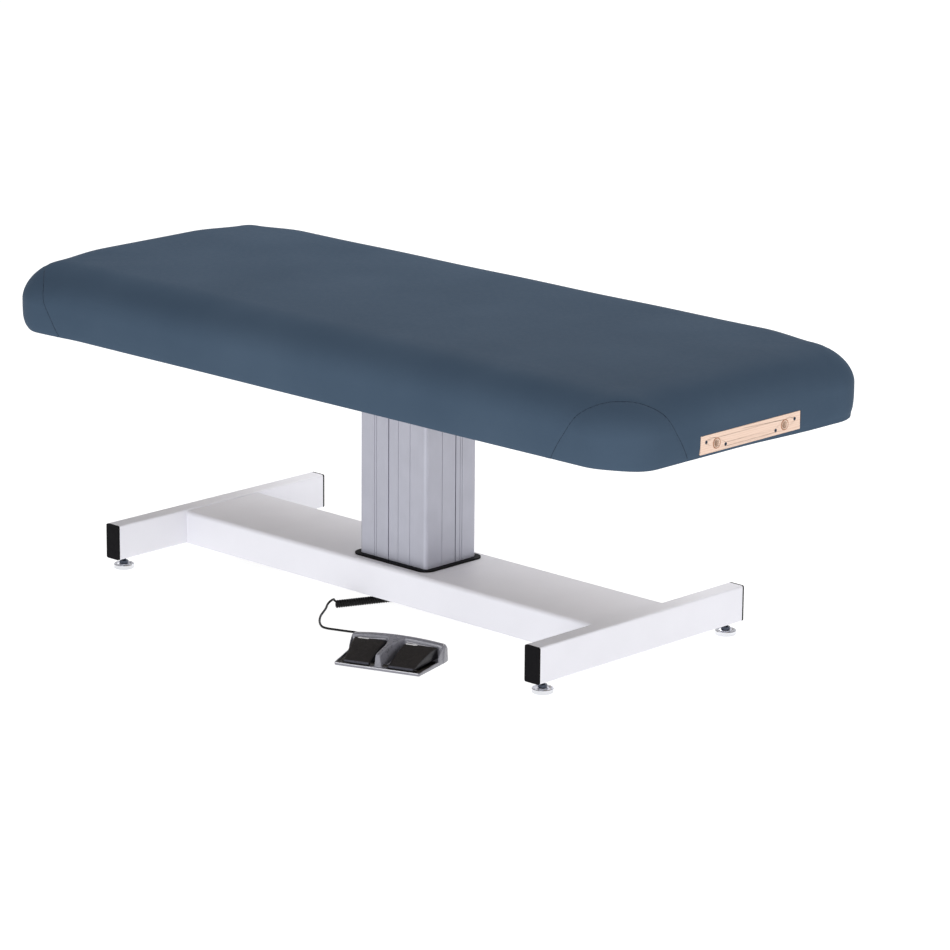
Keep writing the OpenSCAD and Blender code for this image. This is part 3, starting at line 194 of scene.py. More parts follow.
def metal(name, colour, rough=0.3, brush=(1, 1, 1), grain=420, depth=0.00002, metallic=1.0):
    """Metal with fine brush marks along the axis that has the small number"""
    m = new_material(name, metallic=metallic)
    at = place(m)
    lines = noise(m, place(m, brush), grain, 3, 0.65)
    set_colour(m, ramp(m, noise(m, at, 18, 4), [(0.3, grey_levels(colour, 0.93)), (0.7, colour)]))
    set_rough(m, span(m, lines, 0.3, 0.7, rough - 0.07, rough + 0.09))
    set_bumps(m, (lines, 0.5, depth))
    return m


def wooden(name, light, dark, along, scale, rough):
    """Wood with rings and pores drawn out along one axis"""
    m = new_material(name)
    stretch = tuple(0.08 if k == along else 1.0 for k in range(3))
    at = place(m, stretch)
    warp = noise(m, at, scale * 0.35, 3, 0.5, 0.6)
    rings = add(m, "ShaderNodeTexWave", Scale=scale * 1.3, Distortion=5.5, Detail=3.0)
    rings.bands_direction = "Z" if along != 2 else "X"
    rings.inputs["Detail Scale"].default_value = 1.6
    link(m, at, rings.inputs["Vector"])
    pores = noise(m, place(m, tuple(0.03 if k == along else 1.0 for k in range(3))), 900, 4, 0.7)
    mix = add(m, "ShaderNodeMix", data_type="FLOAT")
    mix.inputs[0].default_value = 0.5
    link(m, rings.outputs["Fac"], mix.inputs[2])
    link(m, warp, mix.inputs[3])
    both = add(m, "ShaderNodeMath", operation="MULTIPLY_ADD")
    both.inputs[1].default_value = 0.35
    link(m, pores, both.inputs[0])
    link(m, mix.outputs[0], both.inputs[2])
    set_colour(m, ramp(m, both.outputs[0], [(0.35, dark), (0.8, light)]))
    set_rough(m, span(m, pores, 0.3, 0.7, rough - 0.08, rough + 0.1))
    set_bumps(m, (pores, 0.5, 0.00008), (rings.outputs["Fac"], 0.12, 0.00004))
    return m


def vinyl():
    """Upholstery vinyl: pebbled grain with fine creases, slight sheen, colour that drifts a little"""
    m = new_material("vinyl_slate_blue", specular_ior_level=0.005)
    at = place(m)
    drift = noise(m, at, 3.2, 5, 0.55)
    set_colour(m, ramp(m, drift, [(0.3, srgb(66, 82, 99)), (0.55, srgb(70, 86, 103)), (0.78, srgb(74, 90, 107))]))
    pebbles = cells(m, at, 780, "SMOOTH_F1")
    creases = cells(m, at, 320, "DISTANCE_TO_EDGE")
    set_rough(m, span(m, noise(m, at, 85, 5, 0.6), 0.3, 0.7, 0.40, 0.50))
    set_bumps(m, (pebbles, 0.35, 0.00014), (span(m, creases, 0, 0.12, 0, 1), 0.3, 0.00008),
              (noise(m, at, 22, 4), 0.25, 0.0008))
    return m


def socket_liner():
    """Nylon liners of the plate's sockets: pale in the bore, brown on the rim at the face"""
    low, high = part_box("socket_liners")
    rim_r = (high[2] - low[2]) / 2
    bore, rim = srgb(250, 228, 210), srgb(168, 116, 84)
    m = plastic("beige_nylon", bore, 0.5)
    coord = add(m, "ShaderNodeTexCoord")
    xyz = add(m, "ShaderNodeSeparateXYZ")
    link(m, coord.outputs["Object"], xyz.inputs["Vector"])
    beside = add(m, "ShaderNodeMath", operation="ABSOLUTE")
    link(m, xyz.outputs["Y"], beside.inputs[0])
    both = add(m, "ShaderNodeCombineXYZ")
    link(m, beside.outputs[0], both.inputs["Y"])
    link(m, xyz.outputs["Z"], both.inputs["Z"])
    away = add(m, "ShaderNodeVectorMath", operation="DISTANCE")
    away.inputs[1].default_value = (0, high[1] - rim_r, high[2] - rim_r)
    link(m, both.outputs["Vector"], away.inputs[0])
    on_rim = span(m, away.outputs["Value"], rim_r - 0.0026, rim_r - 0.0016, 0, 1)
    set_colour(m, ramp(m, on_rim, [(0, bore), (1, rim)]))
    return m


mats = {
    "vinyl": vinyl(),
    "seam": plastic("seam_shadowed_vinyl", srgb(48, 61, 75), 0.6, 700, specular_ior_level=0.1),
    "foam": plastic("open_cell_foam", srgb(214, 196, 140), 0.9, 500, 0.0004),
    "white": painted("white_powder_coat", srgb(232, 232, 238), 0.4, specular_ior_level=0.35),
    "frame": painted("grey_powder_coat", srgb(112, 114, 118), 0.45),
    "motor": painted("motor_enamel", srgb(28, 29, 32), 0.4),
    "column": metal("anodised_aluminium", srgb(178, 179, 190), 0.46, (1, 1, 0.012), 620, 0.00004, 0.5),
    "cast": metal("cast_aluminium", srgb(150, 152, 155), 0.55, (1, 1, 1), 600, 0.0002),
    "steel": metal("bright_steel", srgb(190, 190, 194), 0.26, (1, 1, 0.05)),
    "dark_steel": metal("blued_steel", srgb(84, 90, 102), 0.34, (1, 1, 0.1)),
    "under": metal("phosphated_steel", srgb(70, 68, 66), 0.5, (1, 1, 0.2)),
    "chrome": metal("polished_chrome", srgb(226, 227, 231), 0.1, (1, 1, 0.1), 300, 0.000008),
    "bronze": metal("bronze", srgb(178, 134, 78), 0.36),
    "liner": socket_liner(),
    "black": plastic("black_abs", srgb(13, 12, 15), 0.6, specular_ior_level=0.08),
    "cord": plastic("black_cord_jacket", srgb(8, 8, 9), 0.42, 1500, 0.00005, specular_ior_level=0.2),
    "rubber": plastic("black_rubber", srgb(26, 26, 27), 0.75, 700, 0.0002),
    "glide": plastic("white_glide_plastic", srgb(225, 222, 212), 0.4),
    "board": plastic("circuit_board", srgb(22, 84, 48), 0.3),
    "grey": plastic("grey_switch_shell", srgb(124, 124, 132), 0.3, 500, 0.00003, coat_weight=0.6,
                    coat_roughness=0.15),
    "tread": plastic("pedal_tread", srgb(28, 24, 23), 0.62, 1300, 0.00016),
    "pedal": plastic("pedal_body", srgb(26, 26, 30), 0.34),
    "lip": plastic("pedal_lip", srgb(74, 75, 84), 0.3),
    "mark": plastic("white_print", srgb(246, 246, 246), 0.5),
    # Dark brown for the floor in the gaps in front of and beside the pedals: painted shade in these gaps
    "tray": plastic("switch_tray_painted_shade", srgb(58, 54, 48), 0.5, 900),
    # Light grey for the thin tubes on the switch's edges: a painted highlight, not a real colour of the shell
    "edge": plastic("painted_highlight_shell_edge", srgb(212, 212, 217), 0.25, 1200, 0.00003),
    "plate": wooden("plate_maple", srgb(240, 211, 191), srgb(230, 197, 175), 1, 52, 0.5),
    "ply": wooden("poplar_ply", srgb(202, 194, 184), srgb(180, 169, 156), 0, 40, 0.6),
}

SLOT_LOOK = {
    "vinyl_slate": "vinyl", "cushion_foam": "foam", "plywood": "ply", "plate_wood": "plate",
    "white_paint": "white", "frame_paint": "frame", "anodised_aluminium": "column", "black_plastic": "black",
    "chrome_pads": "chrome", "dark_steel": "dark_steel", "bright_steel": "steel", "bronze": "bronze",
    "cast_aluminium": "cast", "motor_paint": "motor", "glide_plastic": "glide", "board_green": "board",
    "switch_grey": "grey", "pedal_black": "pedal", "black_rubber": "rubber", "cord_black": "cord",
    "liner_nylon": "liner",
}
NODE_LOOK = {"switch_base_plate": "under", "pedal_axle": "under", "pedal_springs": "under"}
slot_of = {s["node"]: s["material_slot"] for s in frame["record"]["subparts"]}
for node_name, obj in frame["nodes"].items():
    obj.data.materials.clear()
    obj.data.materials.append(mats[NODE_LOOK.get(node_name, SLOT_LOOK[slot_of[node_name]])])

# Softened edges on the CAD pieces that the photograph shows
EDGE_MM = {
    "foot_bar_left": 0.6, "foot_bar_right": 0.6, "bar_end_caps": 1.2, "base_cover": 0.5, "column_collar": 0.9,
    "column_top_trim": 0.5, "end_plate": 0.9, "switch_base_plate": 0.4, "switch_feet": 0.8,
    "column_head_plate": 0.6, "control_box": 1.0, "gearbox_housing": 0.8, "gearbox_lid": 0.8, "support_arms": 0.5,
    "deck_side_rails": 1.0, "deck_end_rails": 1.0, "deck_panel": 0.8, "nut_plate": 0.5, "spindle_nut": 0.6,
    "leveler_pad_1": 0.7, "leveler_pad_2": 0.7, "leveler_pad_3": 0.7, "leveler_pad_4": 0.7,
}
for node_name, width in EDGE_MM.items():
    obj = frame["nodes"][node_name]
    weld = obj.modifiers.new("weld", "WELD")
    weld.merge_threshold = 0.00001
    bevel = obj.modifiers.new("bevel", "BEVEL")
    bevel.width = width * MM
    bevel.segments = 3
    bevel.limit_method = "ANGLE"
    bevel.angle_limit = math.radians(38)
    bevel.use_clamp_overlap = True
    bevel.harden_normals = True


def new_piece(name, verts, faces, body, slot_name, look_name, smooth_angle=40):
    mesh = bpy.data.meshes.new(name)
    mesh.from_pydata([tuple(v) for v in verts], [], faces)
    mesh.update()
    obj = bpy.data.objects.new(name, mesh)
    scene.collection.objects.link(obj)
    mesh.materials.append(mats[look_name])
    clean(mesh)
    if smooth_angle:
        mesh.polygons.foreach_set("use_smooth", [True] * len(mesh.polygons))
        mesh.set_sharp_from_angle(angle=math.radians(smooth_angle))
    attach(obj, body)
    return obj


def clean(mesh):
    bm = bmesh.new()
    bm.from_mesh(mesh)
    bmesh.ops.remove_doubles(bm, verts=bm.verts, dist=0.00002)
    bmesh.ops.recalc_face_normals(bm, faces=bm.faces)
    bm.to_mesh(mesh)
    bm.free()


def loft(rings, closed_ends=True):
    """Rings of as many points each, joined into a closed skin"""
    n = len(rings[0])
    verts = [p for r in rings for p in r]
    faces = [(k * n + i, k * n + (i + 1) % n, (k + 1) * n + (i + 1) % n, (k + 1) * n + i)
             for k in range(len(rings) - 1) for i in range(n)]
    if closed_ends:
        faces.append(tuple(range(n - 1, -1, -1)))
        faces.append(tuple((len(rings) - 1) * n + i for i in range(n)))
    return verts, faces


def merged(*parts):
    verts, faces = [], []
    for v, f in parts:
        base = len(verts)
        verts += list(v)
        faces += [tuple(base + i for i in face) for face in f]
    return verts, faces


def turned(profile, sides=40):
    """A solid turned about Z from (radius, height) points that start and end on the axis"""
    turns = [2 * math.pi * i / sides for i in range(sides)]
    return loft([[(r * math.cos(a), r * math.sin(a), z) for a in turns] for r, z in profile if r > 0])


def smooth_route(points, per=6):
    """Catmull-Rom through the points"""
    p = [np.array(q, float) for q in points]
    p = [2 * p[0] - p[1]] + p + [2 * p[-1] - p[-2]]
    out = []
    for i in range(1, len(p) - 2):
        for k in range(per):
            t = k / per
            out.append(0.5 * (2 * p[i] + (p[i + 1] - p[i - 1]) * t
                              + (2 * p[i - 1] - 5 * p[i] + 4 * p[i + 1] - p[i + 2]) * t * t
                              + (3 * p[i] - p[i - 1] - 3 * p[i + 1] + p[i + 2]) * t ** 3))
    out.append(p[-2])
    return out


def tube(points, radius, sides=8):
    """A tube along the points, its frame carried along without twist"""
    pts = [Vector(p) for p in points]
    ways = [(pts[min(i + 1, len(pts) - 1)] - pts[max(i - 1, 0)]).normalized() for i in range(len(pts))]
    side = ways[0].orthogonal().normalized()
    rings = []
    for p, w in zip(pts, ways):
        side = (side - w * side.dot(w)).normalized()
        other = w.cross(side)
        rings.append([tuple(p + radius * (math.cos(2 * math.pi * k / sides) * side
                                          + math.sin(2 * math.pi * k / sides) * other)) for k in range(sides)])
    return loft(rings)


# Cord of the foot switch, along the route of the CAD cord
SWITCH = Vector((0.279, -0.366, 0))
TURN = math.radians(20)
SW_U = Vector((math.cos(TURN), math.sin(TURN), 0))
SW_V = Vector((-math.sin(TURN), math.cos(TURN), 0))


def at_switch(u, v, z):
    """A point of the foot switch given in millimetres along its front, to its rear and up"""
    return SWITCH + (SW_U * u + SW_V * v + Vector((0, 0, z))) * MM


CORD_D = 4.6
CORD_Z = CORD_D / 2 + 0.35
CURL_R, CURL_PITCH, CURLS, CURL_Z = 6.4, 5.4, 30.5, 6.4 + CORD_D / 2 + 0.2
curl_axis = Vector((math.cos(math.radians(66.4)), math.sin(math.radians(66.4)), 0))
curl_side = Vector((curl_axis.y, -curl_axis.x, 0))
curl_origin = Vector((-80, -169, CURL_Z))
relief_exit = at_switch(-70, 79, 16) / MM
lead_points = [
    (174, -291, 13), (152, -276, 8.5), (126, -267, 4.5), (102, -266, CORD_Z), (82, -269, CORD_Z),
    (66, -275, CORD_Z), (50, -281, CORD_Z), (36, -286, CORD_Z), (21, -291, CORD_Z), (5, -291, CORD_Z),
    (-12, -281, CORD_Z), (-31, -265, CORD_Z), (-53, -241, CORD_Z), (-66, -223, CORD_Z), (-78, -205, CORD_Z),
    (-90, -188, CORD_Z), (-101, -174, 3.6), (-105, -164, 7), (-102, -158, 11.5), (-95, -159.6, 14.6),
]
tail_points = [
    (-32, -10, CORD_Z), (-52, -5, CORD_Z), (-74, -4, CORD_Z), (-96, -6, CORD_Z), (-120, -10, CORD_Z),
    (-146, -15, CORD_Z), (-174, -21, CORD_Z), (-202, -27, CORD_Z), (-228, -30, CORD_Z), (-250, -30.5, 4),
    (-267, -30.5, 9.5), (-281, -30, 19), (-293, -30, 32), (-304, -30, 45), (-317, -30, 55.5), (-330, -30, 60),
    (-350, -30, 60),
]
per_turn = 18
helix = []
for i in range(round(CURLS * per_turn) + 1):
    a = math.pi / 2 - 2 * math.pi * i / per_turn
    helix.append(tuple(curl_origin + curl_axis * (CURL_PITCH * i / per_turn)
                       + (curl_side * math.cos(a) + Vector((0, 0, math.sin(a)))) * CURL_R))
lead_in = [tuple(relief_exit), tuple(relief_exit + SW_V * 10)] + lead_points
lead_in.append(tuple(Vector(helix[0]) - curl_side * 2 * CORD_D))
tail_out = [tuple(Vector(helix[-1]) - curl_side * 2 * CORD_D)] + tail_points
cord_route = smooth_route(lead_in + [helix[0]], 5)[:-1] + helix + smooth_route([helix[-1]] + tail_out, 5)[1:]
cord_route = [Vector(p) * MM for p in cord_route]
curve = bpy.data.curves.new("switch_cord", "CURVE")
curve.dimensions = "3D"
spline = curve.splines.new("POLY")
spline.points.add(len(cord_route) - 1)
for point, p in zip(spline.points, cord_route):
    point.co = (*p, 1)
curve.bevel_depth = (CORD_D / 2 + 0.15) * MM
curve.bevel_resolution = 3
curve.use_fill_caps = True
curve.materials.append(mats["cord"])
cord_piece = bpy.data.objects.new("switch_cord", curve)
scene.collection.objects.link(cord_piece)
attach(cord_piece, "base")
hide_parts("cord_lead", "cord_curl", "cord_tail")

# Ribbed strain relief
relief_profile = [(0, -2.5), (4.9, -2.5), (4.9, 0.4)]
for k in range(8):
    r = 4.7 - 1.5 * k / 8
    z = 0.8 + 2.3 * k
    relief_profile += [(r, z), (r, z + 1.3), (r - 0.75, z + 1.5), (r - 0.85, z + 2.1)]
relief_profile += [(3.1, 19.4), (2.9, 20), (0, 20)]
relief_v, relief_f = turned(relief_profile, 28)
relief_v = [at_switch(-70 + x, 59 + z, 16 + y) for x, y, z in relief_v]
relief = new_piece("switch_strain_relief", relief_v, relief_f, "base", "black_plastic", "cord", 50)
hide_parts("cord_relief")

# Cover of the tabletop: one vinyl skin over the foam and round the deck's edge

# Half length and width, corner radius, width of the rolled edge and height of its foot
HX, HY, CORNER_R, ROLL_W, RIM_Z = 927, 381, 112, 108, 582.3
# Rise of the roll along a side and round a corner, and of the middle
SIDE_H, CORNER_H, MIDDLE_H = 87.2, 82, 88.9
# Fullness of the roll, 2 for an ellipse: along a side and round each corner
SIDE_N, CORNER_N = 2.3, {1: 2.0, 3: 1.87, 5: 1.75, 7: 1.8}
# Cut-out for the wooden plate
NOTCH_Y, NOTCH_Z0, NOTCH_Z1 = 152.9, 523.6, 562.5
DECK_TOP, DECK_LOW, INNER = 582.36, 522.0, 18.6
# The foot end is drawn in a little, its near corner too, and the far side and far head corner are fuller
FOOT_IN, FOOT_FROM, FOOT_OVER = 6, 640, 280
FAR_OUT, FAR_OVER = 4, 300
HEAD_OUT, HEAD_POWER = 5, 1.6
TUCK_IN, TUCK_LOW = 2.2, 1.3
# Wrap of the lower edge below the deck at the near foot corner, the near head corner and the far head corner,
# and the length over which it fades along the table
WRAP_FOOT, WRAP_NEAR, WRAP_FAR, WRAP_FADE = 3.4, 5, 10, 170
# Distance from the ends and sides within which a corner's seam shows in the skin
GUSSET_REACH = 330


def spread(a, b, step):
    n = max(1, round(abs(b - a) / step))
    return list(np.linspace(a, b, n + 1))


def side_columns(half, extra=()):
    fine = 110
    v = spread(-half, -half + fine, 4)[:-1] + spread(-half + fine, half - fine, 14)[:-1]
    v += spread(half - fine, half, 4)
    v = [x for x in v if all(abs(x - e) > 1 for e in extra)] + list(extra)
    return sorted(v)


# Each column is (side or corner, its place): sides 0 front, 2 head, 4 rear, 6 foot; corners 1, 3, 5, 7
notch_marks = (-NOTCH_Y - 0.4, -NOTCH_Y, NOTCH_Y, NOTCH_Y + 0.4)
columns = []
arc_steps = 44
for side_no, half in ((0, HX - CORNER_R), (2, HY - CORNER_R), (4, HX - CORNER_R), (6, HY - CORNER_R)):
    places = side_columns(half, notch_marks if side_no == 2 else ())
    columns += [(side_no, x) for x in places[:-1]]
    columns += [(side_no + 1, math.pi / 2 * k / arc_steps) for k in range(arc_steps)]

# The way along each side and the way out of it; each corner's signs and the angle where its arc starts
SIDE_WAYS = {0: ((1, 0), (0, -1)), 2: ((0, 1), (1, 0)), 4: ((-1, 0), (0, 1)), 6: ((0, -1), (-1, 0))}
CORNER_AT = {1: (1, -1, -90), 3: (1, 1, 0), 5: (-1, 1, 90), 7: (-1, -1, 180)}


def ring_points(inset, z_of, push=None):
    hx, hy = HX - inset, HY - inset
    r = min(max(CORNER_R - inset, CORNER_R - ROLL_W), hy, hx)
    out = np.zeros((len(columns), 3))
    for k, (kind, at) in enumerate(columns):
        if kind % 2 == 0:
            (tx, ty), (nx, ny) = SIDE_WAYS[kind]
            half, reach, far = (HX - CORNER_R, hx - r, hy) if kind in (0, 4) else (HY - CORNER_R, hy - r, hx)
            s = at * reach / half
            far -= push[k] if push is not None else 0
            out[k] = (tx * s + nx * far, ty * s + ny * far, 0)
        else:
            sx, sy, start = CORNER_AT[kind]
            a = math.radians(start) + at
            out[k] = (sx * (hx - r) + r * math.cos(a), sy * (hy - r) + r * math.sin(a), 0)
        out[k, 2] = z_of[k] if hasattr(z_of, "__len__") else z_of
    return out


def drawn_in(z):
    """Inset of the padding's lower part at height z"""
    return 6 * (1 - math.sin(math.acos(min(1, max(0, 1 - (z - DECK_LOW) / 45)))))


def foot_drawn(x):
    return FOOT_IN * np.clip((-x - FOOT_FROM) / FOOT_OVER, 0, 1) ** 2


def far_fuller(y):
    return FAR_OUT * np.clip(y / FAR_OVER, 0, 1) ** 2


def eased(t):
    t = min(1, max(0, t))
    return t * t * (3 - 2 * t)


def corner_share(beyond):
    """1 round a corner, falling to 0 along the sides with the distance beyond it"""
    return 1 - eased((beyond + 15) / 150)


def beyond_corner(kind, at):
    return 0 if kind % 2 else (HX if kind in (0, 4) else HY) - CORNER_R - abs(at)


def corner_of(kind, at):
    """The corner itself, or the corner that is nearer along a side"""
    return kind if kind % 2 else kind + 1 if at > 0 else (kind - 1) % 8


def lowered(kind, at):
    """How far the lower edge wraps below the deck: round the head end and at the near foot corner"""
    along = at + HX - CORNER_R
    round_share = at / (math.pi / 2)
    if kind == 0:
        return WRAP_FOOT * (1 - eased(along / WRAP_FADE))
    if kind == 1:
        return WRAP_NEAR * eased((round_share - 0.3) / 0.6)
    if kind == 2:
        return WRAP_NEAR + (WRAP_FAR - WRAP_NEAR) * eased((at + 40) / 260)
    if kind == 3:
        return WRAP_FAR
    if kind == 4:
        return WRAP_FAR * (1 - eased(along / WRAP_FADE))
    return WRAP_FOOT * eased((round_share - 0.45) / 0.55) if kind == 7 else 0


low_edge = np.array([lowered(kind, at) for kind, at in columns])
share = np.array([corner_share(beyond_corner(kind, at)) for kind, at in columns])
rim_h = SIDE_H + (CORNER_H - SIDE_H) * share
corner_n = np.array([CORNER_N[corner_of(kind, at)] for kind, at in columns])
fullness = SIDE_N + (corner_n - SIDE_N) * share
in_notch = np.array([kind == 2 and abs(at) < NOTCH_Y + 0.1 for kind, at in columns])
# Levels from the middle of the top, over the roll, down the side and back under the deck: inset, height and kind
TOP_SHARES = (1, 0.93, 0.86, 0.78, 0.7, 0.62, 0.54, 0.46, 0.38, 0.3, 0.22, 0.15, 0.09, 0.04)
ROLL_STEPS = 34
PLAIN, NOTCHED, INSIDE, LOWER_EDGE = range(4)
levels = []
for s in TOP_SHARES:
    levels.append((ROLL_W + s * (HY - ROLL_W), RIM_Z + rim_h + (MIDDLE_H - rim_h) * (1 - (1 - s) ** 3), PLAIN))
for k in range(ROLL_STEPS):
    a = math.radians(90 * (1 - k / ROLL_STEPS))
    rise = (1 - math.cos(a) ** fullness) ** (1 / fullness)
    levels.append((ROLL_W * (1 - math.cos(a)), RIM_Z + rim_h * rise, PLAIN))
levels += [(drawn_in(z), z, PLAIN) for z in (RIM_Z, 577, 572, 567.5, 565, NOTCH_Z1 + 0.3)]
levels += [(drawn_in(z), z, NOTCHED) for z in (NOTCH_Z1, 558, 553, 548, 543, 538, 534, 530, 527, NOTCH_Z0)]
levels.append((drawn_in(NOTCH_Z0 - 0.3), NOTCH_Z0 - 0.3, PLAIN))
levels += [(inset, z, LOWER_EDGE) for inset, z in ((5.9, 523.2), (6.0, 522.5), (6.6, 522.05))]
OUTER = len(levels)
levels += [(inset, DECK_LOW, LOWER_EDGE) for inset in (8, 12, 17)]
SHAPED = len(levels)
levels += [(18.2, 522.4, LOWER_EDGE), (INNER, 523.1, LOWER_EDGE), (INNER, 540, INSIDE), (INNER, 565, INSIDE)]
levels += [(inset, DECK_TOP, INSIDE) for inset in (INNER, 40, ROLL_W, 240, HY)]
rings = []
for inset, z, kind in levels:
    push = np.where(in_notch, INNER - inset, 0) if kind == NOTCHED else None
    z_here = z - low_edge * (1 if kind == LOWER_EDGE else 0)
    rings.append(ring_points(inset, z_here, push))
grid = np.array(rings)
skin = grid[:SHAPED]
hold = np.array([1.0 if k < OUTER else (INNER - inset) / 12 for k, (inset, _, _) in enumerate(levels[:SHAPED])])
skin[..., 0] += hold[:, None] * foot_drawn(skin[..., 0])
skin[..., 1] += hold[:, None] * np.clip((skin[..., 0] - 200) / 500, 0, 1) * far_fuller(skin[..., 1])
bulge = np.array([HEAD_OUT * math.sin(2 * at) if kind == 3 else 0 for kind, at in columns])
tuck = np.array([TUCK_IN * math.sin(2 * at) if kind == 7 else 0 for kind, at in columns])
for k, (inset, level_z, _) in enumerate(levels[:SHAPED]):
    beside = max(0, 1 - inset / ROLL_W)
    low = np.clip((548 - np.asarray(level_z)) / 26, 0, 1) ** 2
    skin[k, :, :2] += hold[k] * (bulge * beside ** HEAD_POWER + tuck * (beside + TUCK_LOW * low))[:, None]


def surface_point(kind, u, z):
    """A point of the outer skin at perimeter distance u from the middle of a corner, at height z"""
    part = corner_share(max(0, abs(u) - CORNER_R * math.pi / 4))
    rise = max(0, z - RIM_Z) / (SIDE_H + (CORNER_H - SIDE_H) * part)
    n = SIDE_N + (CORNER_N[kind] - SIDE_N) * part
    inset = ROLL_W * (1 - (1 - rise ** n) ** (1 / n)) if z > RIM_Z else drawn_in(z)
    r = CORNER_R - inset
    sx, sy, start = CORNER_AT[kind]
    cx, cy = sx * (HX - CORNER_R), sy * (HY - CORNER_R)
    quarter = CORNER_R * math.pi / 4
    a = math.radians(start + 45) + max(-quarter, min(quarter, u)) / CORNER_R
    extra = max(0, abs(u) - quarter) * (1 if u > 0 else -1)
    out = np.array((math.cos(a), math.sin(a)))
    way = np.array((-math.sin(a), math.cos(a)))
    p = np.array((cx, cy)) + out * r + way * extra
    slope = 0 if z <= RIM_Z else math.atan2(rise / CORNER_H, (1 - rise ** n) ** (1 / n) / ROLL_W)
    if kind in (5, 7):
        p[0] += foot_drawn(p[0])
    round_share = math.sin(2 * (math.pi / 4 + max(-quarter, min(quarter, u)) / CORNER_R))
    beside = max(0, 1 - inset / ROLL_W)
    if kind == 7:
        p += TUCK_IN * round_share * beside
    if kind == 3:
        p[1] += far_fuller(p[1])
        p += HEAD_OUT * round_share * beside ** HEAD_POWER
    return np.array((*p, z)), np.array((*(out * math.cos(slope)), math.sin(slope)))


# Half of the seam round a corner's gusset, as (distance from the corner's middle, height)
SEAM = [(171, 523), (167, 529), (157, 545), (144, 565), (128, 588), (119, 604), (109, 620), (95, 633), (80, 640.6),
        (60, 646.2), (38, 649.3), (18, 650.4)]
seam_half = smooth_route([(u, z, 0) for u, z in SEAM] + [(0, 650.7, 0)], 6)
seam_uz = [(-p[0], p[1]) for p in seam_half] + [(p[0], p[1]) for p in reversed(seam_half[:-1])]

wrap = np.roll(grid, -1, axis=1) - np.roll(grid, 1, axis=1)
normals = np.cross(wrap, np.gradient(grid, axis=0))
length = np.linalg.norm(normals, axis=2, keepdims=True)
normals = -normals / np.maximum(length, 1e-9)
normals[:len(TOP_SHARES)] = (0, 0, 1)
# Slight unevenness of the top and of the sides, and puckers beside each seam's groove
offset = np.zeros(grid.shape[:2])
x, y, z = grid[..., 0], grid[..., 1], grid[..., 2]
side_share = np.clip((660 - z) / 50, 0, 1)
offset += 0.45 * np.sin(x / 61 + 1.3) * np.sin(y / 47 + 0.4) * (1 - side_share)
offset += 0.5 * np.sin(x / 83 + z / 37) * np.sin(y / 71 - 0.7) * side_share
seam_lines = []
for kind in (1, 3, 5, 7):
    line, line_n = zip(*(surface_point(kind, u, zz) for u, zz in seam_uz))
    line, line_n = np.array(line), np.array(line_n)
    seam_lines.append((kind, line, line_n))
    sx, sy, _ = CORNER_AT[kind]
    near = (x * sx > HX - GUSSET_REACH) & (y * sy > HY - GUSSET_REACH)
    near[OUTER:] = False
    pts = grid[near]
    best = np.full(len(pts), 1e9)
    where = np.zeros(len(pts))
    steps = np.concatenate([[0], np.cumsum(np.linalg.norm(np.diff(line, axis=0), axis=1))])
    for k in range(len(line) - 1):
        d = line[k + 1] - line[k]
        t = np.clip(((pts - line[k]) @ d) / max(d @ d, 1e-9), 0, 1)
        dist = np.linalg.norm(pts - line[k] - t[:, None] * d, axis=1)
        better = dist < best
        best[better] = dist[better]
        where[better] = (steps[k] + t * (steps[k + 1] - steps[k]))[better]
    pucker = 0.28 * np.cos(where / 13 * 2 * math.pi) + 0.16 * np.cos(where / 7.7 * 2 * math.pi + 1)
    depth = 0.35 if kind == 3 else 1
    offset[near] += depth * (-1.1 * np.exp(-(best / 3.2) ** 2) + pucker * np.exp(-((best - 7) / 7) ** 2))
offset[OUTER:] = 0
offset[:, in_notch] *= (z[:, in_notch] > 570)
grid = grid + normals * offset[..., None]
verts, faces = loft([list(map(tuple, r * MM)) for r in grid], closed_ends=False)
cover = new_piece("tabletop_cover", verts, faces, "tabletop", "vinyl_slate", "vinyl", 50)
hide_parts("cushion", "side_padding", "foam_core")

seam_parts = []
for kind, line, line_n in seam_lines:
    sunk = line - line_n
    sunk[:, 2] = np.maximum(sunk[:, 2], DECK_LOW + 1)
    seam_parts.append(tube([Vector(p) * MM for p in sunk], 0.75 * MM, 6))
new_piece("gusset_seams", *merged(*seam_parts), "tabletop", "vinyl_slate", "seam", 60)

# Foot switch: a moulded shell with a hood, a fin between the pedals and a low rim

FRONT_W, REAR_W, V0, V1 = 96.5, 107, -62, 59


def half_width(v):
    return FRONT_W + (REAR_W - FRONT_W) * (v - V0) / (V1 - V0)


def prism(points, z0, z1):
    n = len(points)
    v = [(u, w, z0) for u, w in points] + [(u, w, z1) for u, w in points]
    f = [(i, (i + 1) % n, n + (i + 1) % n, n + i) for i in range(n)]
    return v, f + [tuple(range(n - 1, -1, -1)), tuple(range(n, 2 * n))]


def hood_top(u):
    return 47 - 7 * (u / 107) ** 2


HOOD_HALF, HOOD_STEPS = 106.4, 62
hood_rings = []
for k in range(HOOD_STEPS + 1):
    u = -HOOD_HALF + 2 * HOOD_HALF * k / HOOD_STEPS
    end = max(0, (abs(u) - 99) / 7.4)
    top = hood_top(u) - 6 * (1 - math.sqrt(max(0, 1 - end * end)))
    front = 34.6 - 1.6 * (1 - min(1, abs(u) / 60)) + 2.5 * end ** 2
    ring = [(u, front, 3), (u, front + 0.4, 12)]
    for t in (0.35, 0.6, 0.78):
        ring.append((u, front + 0.4 + 4.2 * t, 12 + (top - 12) * t))
    ring += [(u, front + 4.2, top - 3.2), (u, front + 4.6, top - 1.2), (u, front + 6.2, top)]
    ring += [(u, 48, top + 0.5 * (1 - end)), (u, 52, top), (u, 54.4, top - 1.1), (u, 56, top - 3.2), (u, 59, 10),
             (u, 59, 3)]
    hood_rings.append(ring)
